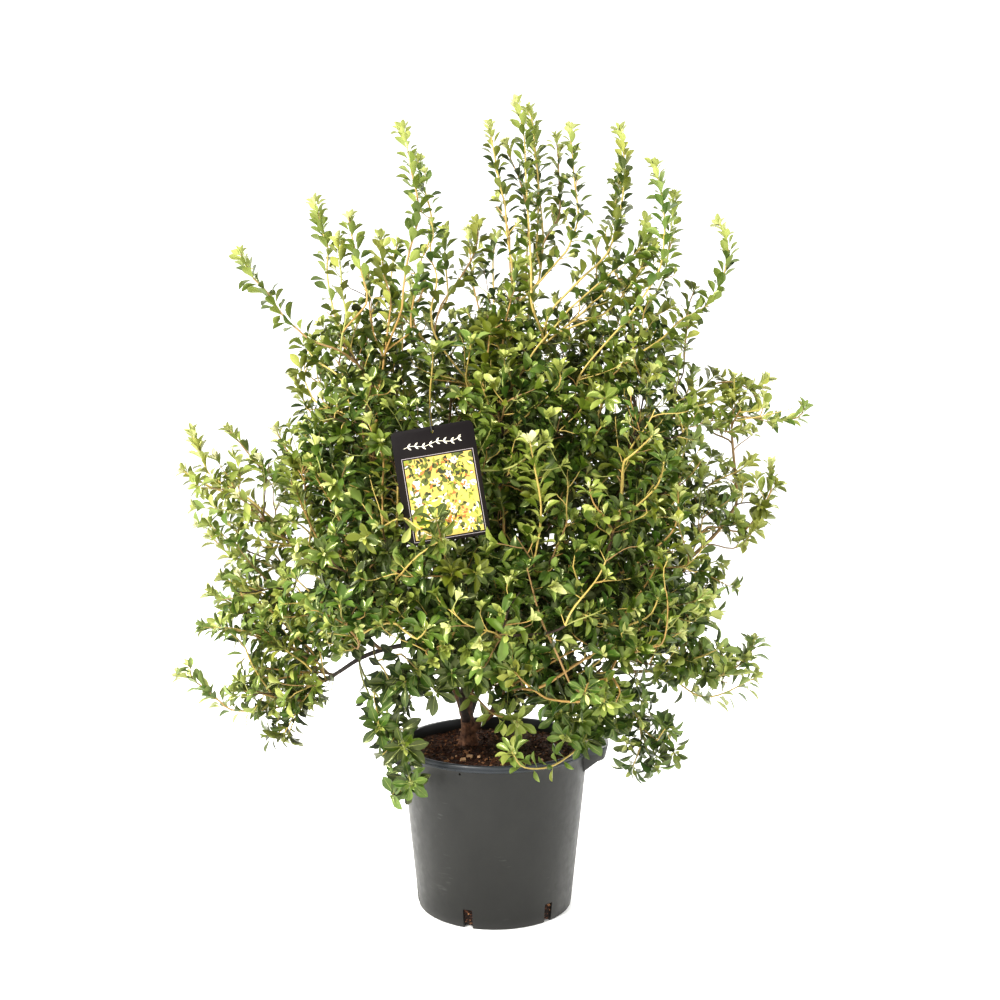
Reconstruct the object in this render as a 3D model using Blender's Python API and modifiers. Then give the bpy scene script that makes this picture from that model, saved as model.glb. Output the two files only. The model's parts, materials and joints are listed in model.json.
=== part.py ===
# A garden shrub grown in a round nursery container: pot, potting soil, short trunk, main boughs, foliage masses,
# upright shoots and the plant label. Metres, +Z up, origin at the centre of the pot's flat underside, +Y to the back.
import math

import bmesh
import bpy
from mathutils import Matrix, Vector, noise
from mathutils.bvhtree import BVHTree

# ---------------------------------------------------------------- driving dimensions
GAP = 0.0003  # clearance between touching pieces
GROW = 0.0006  # how far a cutter stands proud of the piece it is made from

POT_HEIGHT = 0.315
POT_BASE_R = 0.1516
POT_TOP_R = 0.1848  # wall just under the rim
POT_WALL = 0.0030
RIM_R = 0.1890
RIM_DEPTH = 0.013
RIM_INNER_R = 0.1806
POT_STEPS = 28

SLOT_COUNT = 6
SLOT_FIRST_DEG = -109.0  # azimuth from +X; the front is -90
SLOT_WIDTH = 0.018
SLOT_HEIGHT = 0.036

TIE_HOLE_R = 0.0022
TIE_HOLE_DEG = -110.5
TIE_HOLE_Z = 0.2965

LUG_AZIMUTHS_DEG = (0.0, 180.0)  # the two opposite grips
LUG_REACH_R = 0.2262
LUG_FOOT_REACH_R = 0.2200  # at the lower edge of the skirt
LUG_HALF_WIDTH = 0.068
LUG_DROP = 0.026
LUG_SKIN = 0.0030
GUSSET_ACROSS = 0.054  # the two webs that carry a grip on the wall
GUSSET_THICK = 0.0030
GUSSET_FOOT_Z = 0.2610

SOIL_TOP = 0.2970
SOIL_EDGE_DROP = 0.0045

TRUNK_FOOT = Vector((-0.0530, 0.0330, SOIL_TOP + GAP))
TRUNK_FORK = Vector((-0.0600, 0.0300, 0.3700))
TRUNK_R_FOOT = 0.0150
TRUNK_R_FORK = 0.0118
TRUNK_FLARE = 0.0055  # extra radius of the root flare
TRUNK_SIDES = 12

LABEL_WIDTH = 0.1420
LABEL_HEIGHT = 0.1960
LABEL_THICK = 0.0016
LABEL_CORNER_R = 0.010
LABEL_CENTRE = Vector((-0.0910, -0.3450, 0.8410))
LABEL_TURN_DEG = -9.5
LABEL_LEAN_DEG = 5.0
LABEL_HOLE_R = 0.0030
TIE_R = 0.0011

LUMP = 0.42  # how uneven the masses are
MASS_SEGMENTS = 9
MASS_RINGS = 7
SHOOT_SEGMENTS = 6
SHOOT_RINGS = 7

# Main boughs: name, points the limb passes through from its foot to the mass that it enters, radius at foot and at end.
BOUGHS = (
    ("bough_left", ((-0.0605, 0.0295, 0.360), (-0.0860, 0.0270, 0.424), (-0.1250, 0.0200, 0.505), (-0.1900, 0.0150, 0.600)), 0.0088, 0.0060),
    ("bough_centre", ((-0.0570, 0.0330, 0.358), (-0.0480, 0.0450, 0.420), (-0.0250, 0.0500, 0.490), (0.0000, 0.0350, 0.580)), 0.0094, 0.0068),
    ("bough_right", ((-0.0520, 0.0280, 0.322), (-0.0150, 0.0240, 0.356), (0.0250, 0.0240, 0.394), (0.0900, 0.0150, 0.520), (0.1350, 0.0050, 0.590)), 0.0082, 0.0058),
    ("bough_back", ((-0.0560, 0.0360, 0.345), (-0.0350, 0.0850, 0.392), (0.0000, 0.1500, 0.462), (0.0200, 0.2300, 0.560)), 0.0072, 0.0050),
    ("bough_front", ((-0.0580, 0.0250, 0.349), (-0.0650, -0.0200, 0.405), (-0.0500, -0.0900, 0.470), (-0.0350, -0.1750, 0.560)), 0.0068, 0.0048),
    ("bough_left_low", ((-0.1050, 0.0240, 0.470), (-0.1400, 0.0420, 0.4950), (-0.1950, 0.0500, 0.4920), (-0.2650, 0.0480, 0.4720), (-0.3260, 0.0400, 0.4360), (-0.3900, 0.0300, 0.4050)), 0.0056, 0.0036),
    ("bough_right_low", ((-0.0050, 0.0300, 0.366), (0.0400, 0.0500, 0.3780), (0.0820, 0.0650, 0.3960), (0.1200, 0.0800, 0.4120), (0.1930, 0.0980, 0.4230), (0.3000, 0.0850, 0.4330), (0.3900, 0.0500, 0.4450)), 0.0056, 0.0036),
)

# Foliage masses: name, centre, half sizes, and the shoot tips that stand out of it.
MASSES = (
    ("foliage_core", (0.010, 0.000, 0.835), (0.190, 0.190, 0.170), ()),
    ("foliage_core_low", (0.000, -0.010, 0.590), (0.170, 0.170, 0.115), ()),
    ("foliage_core_upper", (0.025, 0.015, 1.100), (0.170, 0.190, 0.160), ((-0.040, 0.010, 1.335), (0.100, 0.030, 1.290))),
    ("foliage_left", (-0.285, 0.000, 0.860), (0.165, 0.190, 0.155), ((-0.438, -0.030, 0.945),)),
    ("foliage_left_low", (-0.310, -0.010, 0.620), (0.165, 0.180, 0.122), ()),
    ("foliage_left_far", (-0.490, -0.020, 0.795), (0.125, 0.140, 0.115), ((-0.612, -0.040, 0.918), (-0.535, 0.030, 0.935), (-0.630, -0.010, 0.852))),
    ("foliage_left_far_low", (-0.475, 0.010, 0.590), (0.125, 0.140, 0.110), ((-0.592, -0.010, 0.602), (-0.560, 0.000, 0.520))),
    ("foliage_left_bottom", (-0.425, 0.010, 0.425), (0.130, 0.110, 0.078), ((-0.450, 0.000, 0.312),)),
    ("foliage_upper_left", (-0.245, 0.000, 1.095), (0.160, 0.160, 0.145), ((-0.226, -0.030, 1.315), (-0.132, 0.030, 1.325), (-0.402, 0.020, 1.068))),
    ("foliage_upper_right", (0.240, 0.010, 1.110), (0.155, 0.180, 0.150), ()),
    ("foliage_right", (0.300, 0.000, 0.860), (0.170, 0.180, 0.150), ()),
    ("foliage_right_far_upper", (0.475, 0.010, 0.980), (0.125, 0.120, 0.075), ((0.548, 0.020, 1.034),)),
    ("foliage_right_far", (0.455, 0.000, 0.800), (0.115, 0.130, 0.110), ((0.518, -0.020, 0.890),)),
    ("foliage_right_low", (0.300, -0.010, 0.600), (0.175, 0.170, 0.135), ((0.465, 0.010, 0.655),)),
    ("foliage_right_arm", (0.420, 0.010, 0.462), (0.130, 0.100, 0.055), ((0.542, 0.030, 0.436),)),
    ("foliage_over_pot", (0.085, -0.050, 0.430), (0.130, 0.120, 0.070), ()),
    ("foliage_front", (0.010, -0.320, 0.630), (0.170, 0.150, 0.140), ()),
    ("foliage_front_left", (-0.220, -0.280, 0.672), (0.150, 0.150, 0.128), ()),
    ("foliage_front_right", (0.235, -0.280, 0.680), (0.155, 0.160, 0.155), ((0.165, -0.330, 0.880),)),
    ("foliage_front_upper", (0.055, -0.225, 0.930), (0.155, 0.125, 0.145), ()),
    ("foliage_front_upper_left", (-0.235, -0.215, 0.910), (0.140, 0.125, 0.135), ()),
    ("foliage_front_upper_right", (0.245, -0.205, 0.940), (0.140, 0.130, 0.130), ()),
    ("foliage_back", (0.010, 0.330, 0.800), (0.180, 0.160, 0.160), ()),
    ("foliage_back_low", (0.020, 0.310, 0.585), (0.170, 0.140, 0.120), ()),
    ("foliage_back_left", (-0.250, 0.290, 0.720), (0.160, 0.160, 0.160), ((-0.400, 0.370, 0.800),)),
    ("foliage_back_right", (0.270, 0.290, 0.735), (0.160, 0.160, 0.160), ((0.410, 0.370, 0.820),)),
    ("foliage_back_upper", (-0.020, 0.250, 1.030), (0.170, 0.150, 0.140), ((0.100, 0.330, 1.160),)),
)

# Single upright, spreading and drooping shoots: name, foot, tip, sideways bend, largest radius.
SHOOTS = (
    ("shoot_top_left", (-0.173, -0.060, 1.175), (-0.179, -0.080, 1.515), (0.020, 0.000, 0.000), 0.041),
    ("shoot_top_inner_left", (0.019, -0.080, 1.190), (-0.011, -0.100, 1.515), (0.018, 0.000, 0.000), 0.036),
    ("shoot_top_leader", (0.070, 0.030, 1.190), (0.054, 0.000, 1.600), (0.016, 0.000, 0.000), 0.046),
    ("shoot_top_middle", (0.118, 0.090, 1.200), (0.126, 0.100, 1.544), (0.010, 0.000, 0.000), 0.034),
    ("shoot_top_inner_right", (0.150, -0.060, 1.190), (0.146, -0.060, 1.520), (0.020, 0.000, 0.000), 0.030),
    ("shoot_top_right", (0.218, 0.050, 1.200), (0.254, 0.050, 1.543), (0.012, 0.000, 0.000), 0.042),
    ("shoot_right_upper", (0.293, -0.040, 1.170), (0.316, -0.050, 1.449), (0.022, 0.000, 0.000), 0.044),
    ("shoot_right_spreading", (0.374, 0.020, 1.124), (0.458, 0.030, 1.344), (0.035, 0.000, -0.025), 0.036),
    ("shoot_left_upper", (-0.304, 0.030, 1.165), (-0.365, 0.040, 1.393), (0.010, 0.000, 0.000), 0.038),
    ("shoot_left_second", (-0.245, -0.050, 1.164), (-0.282, -0.070, 1.343), (0.010, 0.000, 0.000), 0.032),
    ("shoot_left_spreading", (-0.358, -0.020, 1.108), (-0.505, -0.040, 1.273), (-0.010, 0.000, -0.012), 0.030),
    ("shoot_left_bottom", (-0.520, 0.010, 0.420), (-0.634, 0.000, 0.448), (0.000, 0.000, -0.014), 0.030),
    ("shoot_right_far", (0.560, 0.010, 0.970), (0.620, 0.010, 0.976), (0.000, 0.000, -0.006), 0.030),
    ("shoot_right_upturned", (0.500, 0.000, 0.735), (0.561, -0.010, 0.858), (0.022, 0.000, -0.026), 0.030),
    ("shoot_right_arm", (0.500, 0.020, 0.480), (0.549, 0.020, 0.515), (0.008, 0.000, 0.000), 0.028),
    ("shoot_back_upper", (-0.020, 0.260, 1.120), (-0.060, 0.250, 1.385), (0.016, 0.000, 0.000), 0.042),
    ("shoot_back_right", (0.190, 0.190, 1.120), (0.220, 0.200, 1.350), (0.014, 0.000, 0.000), 0.040),
    ("droop_left", (-0.140, -0.165, 0.520), (-0.160, -0.215, 0.246), (-0.020, -0.020, 0.000), 0.056),
    ("droop_front", (0.205, -0.185, 0.440), (0.035, -0.262, 0.330), (0.010, -0.030, -0.045), 0.050),
    ("droop_right", (0.270, 0.000, 0.450), (0.305, -0.010, 0.235), (0.020, 0.000, 0.000), 0.066),
)

# ---------------------------------------------------------------- scene
for old in list(bpy.data.objects):
    bpy.data.objects.remove(old, do_unlink=True)

parts = bpy.data.collections.new("potted_enkianthus")
cutters = bpy.data.collections.new("cutters")
bpy.context.scene.collection.children.link(parts)
bpy.context.scene.collection.children.link(cutters)


def material(name, rgb, roughness, metallic=0.0):
    mat = bpy.data.materials.new(name)
    mat.use_nodes = True
    shader = mat.node_tree.nodes["Principled BSDF"]
    shader.inputs["Base Color"].default_value = (*rgb, 1.0)
    shader.inputs["Roughness"].default_value = roughness
    shader.inputs["Metallic"].default_value = metallic
    mat.diffuse_color = (*rgb, 1.0)
    return mat


def add(name, mesh, collection=parts, mat=None):
    obj = bpy.data.objects.new(name, mesh)
    collection.objects.link(obj)
    if mat:
        obj.data.materials.clear()
        obj.data.materials.append(mat)
    if collection is cutters:
        obj.hide_render = True
        obj.display_type = "WIRE"
    return obj


def mesh_from(bm, name):
    mesh = bpy.data.meshes.new(name)
    bm.to_mesh(mesh)
    bm.free()
    return mesh


def put(obj, bm):
    """Gives obj this mesh and leaves it its materials."""
    mats = list(obj.data.materials)
    obj.data = mesh_from(bm, obj.name)
    for mat in mats:
        obj.data.materials.append(mat)


def ordered(bm):
    """The same shape with its points and faces in an order that depends only on where they lie."""
    verts = sorted(bm.verts, key=lambda v: tuple(v.co))
    rank = {v: i for i, v in enumerate(verts)}
    loops = []
    for f in bm.faces:
        loop = [rank[v] for v in f.verts]
        k = loop.index(min(loop))
        loops.append(tuple(loop[k:] + loop[:k]))
    out = bmesh.new()
    points = [out.verts.new(v.co) for v in verts]
    for loop in sorted(set(loops)):
        corners = [points[i] for i in loop]
        if out.faces.get(corners) is None:
            out.faces.new(corners)
    bm.free()
    return out


def baked(obj, name=None):
    """The object's evaluated mesh in world space, as a new mesh."""
    depsgraph = bpy.context.evaluated_depsgraph_get()
    depsgraph.update()
    mesh = bpy.data.meshes.new_from_object(obj.evaluated_get(depsgraph))
    mesh.transform(obj.matrix_world)
    mesh.name = name or obj.name
    return mesh


def boolean(obj, other, operation):
    """Carries out one Boolean on obj, keeping the result as its mesh."""
    mod = obj.modifiers.new(operation.lower(), "BOOLEAN")
    mod.operation = operation
    mod.object = other
    mod.solver = "EXACT"
    mesh = baked(obj)
    obj.modifiers.clear()
    bm = bmesh.new()
    bm.from_mesh(mesh)
    put(obj, ordered(bm))
    obj.matrix_world = Matrix()


def grown(obj, distance=GROW):
    """A copy of obj whose surface stands a little proud, for cutting a neighbour clear of it."""
    bm = bmesh.new()
    bm.from_mesh(obj.data)
    bmesh.ops.recalc_face_normals(bm, faces=bm.faces)
    bm.normal_update()
    moves = []
    for v in bm.verts:
        normals = [f.normal.copy() for f in v.link_faces if f.calc_area() > 1e-10]
        move = sum(normals, Vector()).normalized() * distance
        for _ in range(80):  # pushes the point out until it clears every face around it
            worst = min(normals, key=move.dot, default=None)
            if worst is None or move.dot(worst) >= 0.8 * distance:
                break
            move += worst * (distance - move.dot(worst))
        if move.length > 6 * distance:
            move = move.normalized() * 6 * distance
        moves.append(move)
    for v, move in zip(bm.verts, moves):
        v.co += move
    return add(obj.name + "_clear", mesh_from(bm, obj.name + "_clear"), cutters)


def close_up(bm):
    """Takes out degenerate faces and fills any gap that is left."""
    for step in range(4):
        bmesh.ops.dissolve_degenerate(bm, edges=bm.edges, dist=0.00003)
        loose = [v for v in bm.verts if not v.link_faces]
        bmesh.ops.delete(bm, geom=loose, context="VERTS")
        wires = [e for e in bm.edges if not e.link_faces]
        bmesh.ops.delete(bm, geom=wires, context="EDGES")
        rim = [e for e in bm.edges if len(e.link_faces) == 1]
        if not rim:
            break
        bmesh.ops.holes_fill(bm, edges=rim, sides=0)
        rim = [e for e in bm.edges if len(e.link_faces) == 1]
        if rim:
            bmesh.ops.remove_doubles(bm, verts=list(dict.fromkeys(v for e in rim for v in e.verts)), dist=0.0004 * (step + 1))
    bmesh.ops.triangulate(bm, faces=bm.faces)
    bmesh.ops.recalc_face_normals(bm, faces=bm.faces)


def tree_of(obj):
    bm = bmesh.new()
    bm.from_mesh(obj.data)
    tree = BVHTree.FromBMesh(bm)
    bm.free()
    return tree


def box_of(obj):
    cos = [obj.matrix_world @ v.co for v in obj.data.vertices]
    return ([min(c[i] for c in cos) for i in range(3)], [max(c[i] for c in cos) for i in range(3)])


def boxes_meet(a, b, slack=0.001):
    (a0, a1), (b0, b1) = box_of(a), box_of(b)
    return all(a0[i] < b1[i] + slack and b0[i] < a1[i] + slack for i in range(3))


def keep_main_piece(obj, near=None):
    """Leaves the largest loose piece, or the one that comes closest to a point."""
    bm = bmesh.new()
    bm.from_mesh(obj.data)
    bmesh.ops.remove_doubles(bm, verts=bm.verts, dist=0.00002)
    bmesh.ops.dissolve_degenerate(bm, edges=bm.edges, dist=0.00002)
    seen, pieces = set(), []
    for start in bm.verts:
        if start in seen:
            continue
        stack, piece = [start], []
        seen.add(start)
        while stack:
            v = stack.pop()
            piece.append(v)
            for e in v.link_edges:
                o = e.other_vert(v)
                if o not in seen:
                    seen.add(o)
                    stack.append(o)
        pieces.append(piece)
    if near is None:
        keep = max(pieces, key=len)
    else:
        keep = min(pieces, key=lambda p: min((v.co - near).length for v in p))
    keep = set(keep)
    bmesh.ops.delete(bm, geom=[v for v in bm.verts if v not in keep], context="VERTS")
    close_up(bm)
    put(obj, ordered(bm))


def clear_of(obj, others, near=None):
    """Cuts obj clear of each of the others that it runs into."""
    mine = tree_of(obj)
    for other in others:
        if other is obj or not boxes_meet(obj, other):
            continue
        cutter = grown(other)
        if tree_of(obj).overlap(tree_of(cutter)):
            boolean(obj, cutter, "DIFFERENCE")
            keep_main_piece(obj, near)
        bpy.data.objects.remove(cutter, do_unlink=True)


def smooth_path(points, count):
    """A curve through the given points, read at evenly spaced parameters (Catmull-Rom)."""
    pts = [Vector(p) for p in points]
    ext = [2 * pts[0] - pts[1]] + pts + [2 * pts[-1] - pts[-2]]
    out = []
    for k in range(count):
        s = k / (count - 1) * (len(pts) - 1)
        i = min(int(s), len(pts) - 2)
        t = s - i
        p0, p1, p2, p3 = ext[i], ext[i + 1], ext[i + 2], ext[i + 3]
        out.append(0.5 * ((2 * p1) + (p2 - p0) * t + (2 * p0 - 5 * p1 + 4 * p2 - p3) * t * t + (3 * p1 - p0 - 3 * p2 + p3) * t ** 3))
    return out


def limb(name, points, r0, r1, sides=8, count=9):
    """A round tapering limb, made as a bevelled curve and turned into a mesh."""
    curve = bpy.data.curves.new(name, "CURVE")
    curve.dimensions = "3D"
    curve.bevel_depth = 1.0
    curve.bevel_resolution = 2 if sides <= 8 else 4
    curve.use_fill_caps = True
    path = smooth_path(points, count)
    spline = curve.splines.new("POLY")
    spline.points.add(len(path) - 1)
    for k, p in enumerate(path):
        t = k / (len(path) - 1)
        spline.points[k].co = (*p, 1.0)
        spline.points[k].radius = r0 + (r1 - r0) * t
    tube = add(name + "_curve", curve, cutters)
    mesh = baked(tube, name)
    bpy.data.objects.remove(tube, do_unlink=True)
    bm = bmesh.new()
    bm.from_mesh(mesh)
    bmesh.ops.remove_doubles(bm, verts=bm.verts, dist=0.00005)
    bmesh.ops.recalc_face_normals(bm, faces=bm.faces)
    return mesh_from(bm, name)


# ---------------------------------------------------------------- materials
pot_plastic = material("pot_plastic", (0.072, 0.074, 0.073), 0.48)
soil_brown = material("bark_compost", (0.045, 0.020, 0.012), 0.92)
bark_brown = material("bark", (0.110, 0.055, 0.034), 0.80)
leaf_green = material("leaf_green", (0.050, 0.105, 0.022), 0.42)
leaf_light = material("young_leaf", (0.270, 0.340, 0.060), 0.45)
card_black = material("label_card", (0.022, 0.020, 0.022), 0.35)
tie_plastic = material("label_tie", (0.030, 0.030, 0.030), 0.50)

# ---------------------------------------------------------------- pot
def turned(name, profile, steps, collection, mat=None):
    """A profile in the XZ plane, turned about Z with a Screw modifier; the profile runs down its outer side."""
    bm = bmesh.new()
    verts = [bm.verts.new((r, 0.0, z)) for r, z in profile]
    for a, b in zip(verts, verts[1:]):
        bm.edges.new((a, b))
    obj = add(name, mesh_from(bm, name), collection, mat)
    screw = obj.modifiers.new("turn", "SCREW")
    screw.angle = 2 * math.pi
    screw.steps = steps
    screw.render_steps = steps
    screw.use_merge_vertices = True
    screw.merge_threshold = 0.00005
    screw.use_normal_calculate = False
    return obj


def wall_r(z):
    """Outer radius of the tapering pot wall at height z."""
    return POT_BASE_R + (POT_TOP_R - POT_BASE_R) * z / (POT_HEIGHT - RIM_DEPTH)


rim_foot = POT_HEIGHT - RIM_DEPTH
pot = turned(
    "pot",
    (
        (0.0, POT_WALL),
        (POT_BASE_R - POT_WALL - 0.004, POT_WALL),
        (wall_r(0.008) - POT_WALL, 0.008),
        (wall_r(rim_foot) - POT_WALL, rim_foot - 0.003),
        (RIM_INNER_R, POT_HEIGHT - 0.002),
        (RIM_INNER_R + 0.0022, POT_HEIGHT),
        (RIM_R - 0.0025, POT_HEIGHT),
        (RIM_R, POT_HEIGHT - 0.0028),
        (RIM_R, rim_foot + 0.001),
        (POT_TOP_R, rim_foot),
        (wall_r(0.003), 0.003),
        (POT_BASE_R - 0.003, 0.0),
        (0.0, 0.0),
    ),
    POT_STEPS,
    parts,
    pot_plastic,
)
pot.data = baked(pot)
pot.modifiers.clear()


def grip_outline(reach, half_width, inner):
    """Plan outline of a grip, from one side of the pot round its outer edge to the other; +X points outwards."""
    pts = []
    count = 8
    for k in range(count + 1):
        a = math.pi * (k / count - 0.5)
        across = half_width * math.sin(a)
        out = inner + (reach - inner) * math.copysign(abs(math.cos(a)) ** 0.42, math.cos(a)) if 0 < k < count else inner
        pts.append((out, across))
    return pts


def prism(name, outline, z0, z1, top_outline=None):
    """An upright block over a plan outline, tapering to a second outline where one is given."""
    bm = bmesh.new()
    low = [bm.verts.new((x, y, z0)) for x, y in outline]
    high = [bm.verts.new((x, y, z1)) for x, y in (top_outline or outline)]
    bm.faces.new(low)
    bm.faces.new(high)
    for k in range(len(low)):
        j = (k + 1) % len(low)
        bm.faces.new((low[k], low[j], high[j], high[k]))
    if top_outline:
        bmesh.ops.triangulate(bm, faces=[f for f in bm.faces if len(f.verts) == 4])
    bmesh.ops.recalc_face_normals(bm, faces=bm.faces)
    return mesh_from(bm, name)


def gusset(across):
    """A triangular web under a grip, from the skirt down to the wall."""
    bm = bmesh.new()
    outline = ((0.1650, GUSSET_FOOT_Z), (0.1650, 0.3120), (0.2080, 0.3120), (0.2032, 0.2893))
    rows = []
    for y in (across - 0.5 * GUSSET_THICK, across + 0.5 * GUSSET_THICK):
        rows.append([bm.verts.new((x, y, z)) for x, z in outline])
    for row in rows:
        bm.faces.new(row)
    for k in range(4):
        j = (k + 1) % 4
        bm.faces.new((rows[0][k], rows[0][j], rows[1][j], rows[1][k]))
    bmesh.ops.recalc_face_normals(bm, faces=bm.faces)
    return mesh_from(bm, "grip_gusset")


for azimuth in LUG_AZIMUTHS_DEG:
    turn = Matrix.Rotation(math.radians(azimuth), 4, "Z")
    top, foot = POT_HEIGHT - 0.0012, POT_HEIGHT - LUG_DROP - 0.0012
    lug = add("grip", prism("grip", grip_outline(LUG_FOOT_REACH_R, LUG_HALF_WIDTH - 0.003, 0.155), foot, top, grip_outline(LUG_REACH_R, LUG_HALF_WIDTH, 0.155)), cutters)
    hollow = add("grip_hollow", prism("grip_hollow", grip_outline(LUG_FOOT_REACH_R - LUG_SKIN, LUG_HALF_WIDTH - 0.003 - LUG_SKIN, 0.150), foot - 0.0005, top - LUG_SKIN, grip_outline(LUG_REACH_R - LUG_SKIN, LUG_HALF_WIDTH - LUG_SKIN, 0.150)), cutters)
    boolean(lug, hollow, "DIFFERENCE")
    webs = [add("grip_gusset", gusset(side * GUSSET_ACROSS), cutters) for side in (-1, 1)]
    for web in webs:
        boolean(lug, web, "UNION")
    core = turned("grip_core", ((0.0, POT_HEIGHT + 0.01), (wall_r(POT_HEIGHT + 0.01) - 0.5 * POT_WALL, POT_HEIGHT + 0.01), (wall_r(0.24) - 0.5 * POT_WALL, 0.24), (0.0, 0.24)), POT_STEPS, cutters)
    boolean(lug, core, "DIFFERENCE")
    lug.data.transform(turn)
    boolean(pot, lug, "UNION")
    for tool in (lug, hollow, core, *webs):
        bpy.data.objects.remove(tool, do_unlink=True)

for k in range(SLOT_COUNT):
    a = math.radians(SLOT_FIRST_DEG + 360.0 * k / SLOT_COUNT)
    bm = bmesh.new()
    bmesh.ops.create_cube(bm, size=1.0)
    bmesh.ops.scale(bm, vec=(0.040, SLOT_WIDTH, SLOT_HEIGHT + 0.010), verts=bm.verts)
    slot = add("drain_slot", mesh_from(bm, "drain_slot"), cutters)
    slot.location = (POT_BASE_R * math.cos(a) * 0.985, POT_BASE_R * math.sin(a) * 0.985, 0.5 * (SLOT_HEIGHT - 0.010))
    slot.rotation_euler = (0, 0, a)
    bpy.context.view_layer.update()
    boolean(pot, slot, "DIFFERENCE")
    bpy.data.objects.remove(slot, do_unlink=True)

bm = bmesh.new()
bmesh.ops.create_cone(bm, cap_ends=True, segments=8, radius1=TIE_HOLE_R, radius2=TIE_HOLE_R, depth=0.030)
drill = add("tie_hole", mesh_from(bm, "tie_hole"), cutters)
a = math.radians(TIE_HOLE_DEG)
drill.location = (wall_r(TIE_HOLE_Z) * math.cos(a), wall_r(TIE_HOLE_Z) * math.sin(a), TIE_HOLE_Z)
drill.rotation_euler = (0, math.pi / 2, a)
bpy.context.view_layer.update()
boolean(pot, drill, "DIFFERENCE")
bpy.data.objects.remove(drill, do_unlink=True)
keep_main_piece(pot)

# ---------------------------------------------------------------- potting soil
soil_r = RIM_INNER_R - 0.0030
soil = turned(
    "potting_soil",
    (
        (0.0, SOIL_TOP),
        (0.100, SOIL_TOP),
        (0.150, SOIL_TOP - 0.3 * SOIL_EDGE_DROP),
        (wall_r(SOIL_TOP - SOIL_EDGE_DROP) - POT_WALL - 0.0010, SOIL_TOP - SOIL_EDGE_DROP),
        (wall_r(0.010) - POT_WALL - 0.0010, 0.0095),
        (POT_BASE_R - POT_WALL - 0.006, POT_WALL + GAP),
        (0.0, POT_WALL + GAP),
    ),
    20,
    parts,
    soil_brown,
)
soil.data = baked(soil)
soil.modifiers.clear()

# ---------------------------------------------------------------- trunk
def trunk_mesh():
    """Rings lofted from the flat foot to the fork, flared and ridged at the foot."""
    bm = bmesh.new()
    rings = []
    steps = 7
    for k in range(steps + 1):
        t = k / steps
        centre = TRUNK_FOOT.lerp(TRUNK_FORK, t) + Vector((0.0025, 0.0, 0.0)) * math.sin(math.pi * t)
        flare = TRUNK_FLARE * (1 - t) ** 4
        radius = TRUNK_R_FOOT + (TRUNK_R_FORK - TRUNK_R_FOOT) * t
        ring = []
        for j in range(TRUNK_SIDES):
            a = 2 * math.pi * j / TRUNK_SIDES
            ridge = 1 + 0.06 * math.cos(3 * a + 0.6) + 0.04 * math.cos(5 * a + 2.0 * t)
            r = radius * ridge + flare * (1 + 0.55 * math.cos(4 * a + 0.5))
            ring.append(bm.verts.new(centre + Vector((r * math.cos(a), r * math.sin(a), 0.0))))
        rings.append(ring)
    for low, high in zip(rings, rings[1:]):
        for j in range(TRUNK_SIDES):
            bm.faces.new((low[j], low[(j + 1) % TRUNK_SIDES], high[(j + 1) % TRUNK_SIDES], high[j]))
    bm.faces.new(list(reversed(rings[0])))
    crest = bm.verts.new(TRUNK_FORK + Vector((0, 0, 0.007)))
    for j in range(TRUNK_SIDES):
        bm.faces.new((rings[-1][j], rings[-1][(j + 1) % TRUNK_SIDES], crest))
    bmesh.ops.triangulate(bm, faces=[f for f in bm.faces if len(f.verts) == 4])
    bmesh.ops.recalc_face_normals(bm, faces=bm.faces)
    return mesh_from(bm, "trunk")


trunk = add("trunk", trunk_mesh(), parts, bark_brown)

# ---------------------------------------------------------------- foliage masses
def shoot_mesh(name, foot, tip, bend, radius, seed, segments=SHOOT_SEGMENTS, rings=SHOOT_RINGS):
    """A narrow uneven body along a bent line from foot to tip: a sphere drawn out along the line."""
    foot, tip, bend = Vector(foot), Vector(tip), Vector(bend)
    bm = bmesh.new()
    bmesh.ops.create_uvsphere(bm, u_segments=segments, v_segments=rings, radius=1.0)
    bmesh.ops.recalc_face_normals(bm, faces=bm.faces)
    bm = ordered(bm)
    axis = (tip - foot).normalized()
    side = axis.orthogonal().normalized()
    other = axis.cross(side)
    shift = Vector((seed * 2.37, seed * 1.91, seed * 4.13))
    for v in bm.verts:
        t = 0.5 * (1 - math.cos(math.pi * (0.5 + math.asin(max(-1, min(1, v.co.z))) / math.pi)))
        t = 0.5 * t + 0.5 * (0.5 + math.asin(max(-1, min(1, v.co.z))) / math.pi)
        across = math.hypot(v.co.x, v.co.y)
        full = (4 * t * (1 - t)) ** 0.5 if 0 < t < 1 else 0.0
        fat = full * (1.05 - 0.45 * t)
        if across > 1e-6:
            ux, uy = v.co.x / across, v.co.y / across
        else:
            ux, uy, fat = 0.0, 0.0, 0.0
        lump = 1 + 0.9 * noise.noise(Vector((ux, uy, 5.0 * t)) * 1.3 + shift)
        centre = foot.lerp(tip, t) + bend * (4 * t * (1 - t))
        v.co = centre + (side * ux + other * uy) * (radius * fat * lump)
    bmesh.ops.remove_doubles(bm, verts=bm.verts, dist=0.0002)
    bmesh.ops.triangulate(bm, faces=bm.faces)
    bmesh.ops.recalc_face_normals(bm, faces=bm.faces)
    return mesh_from(ordered(bm), name)


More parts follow.
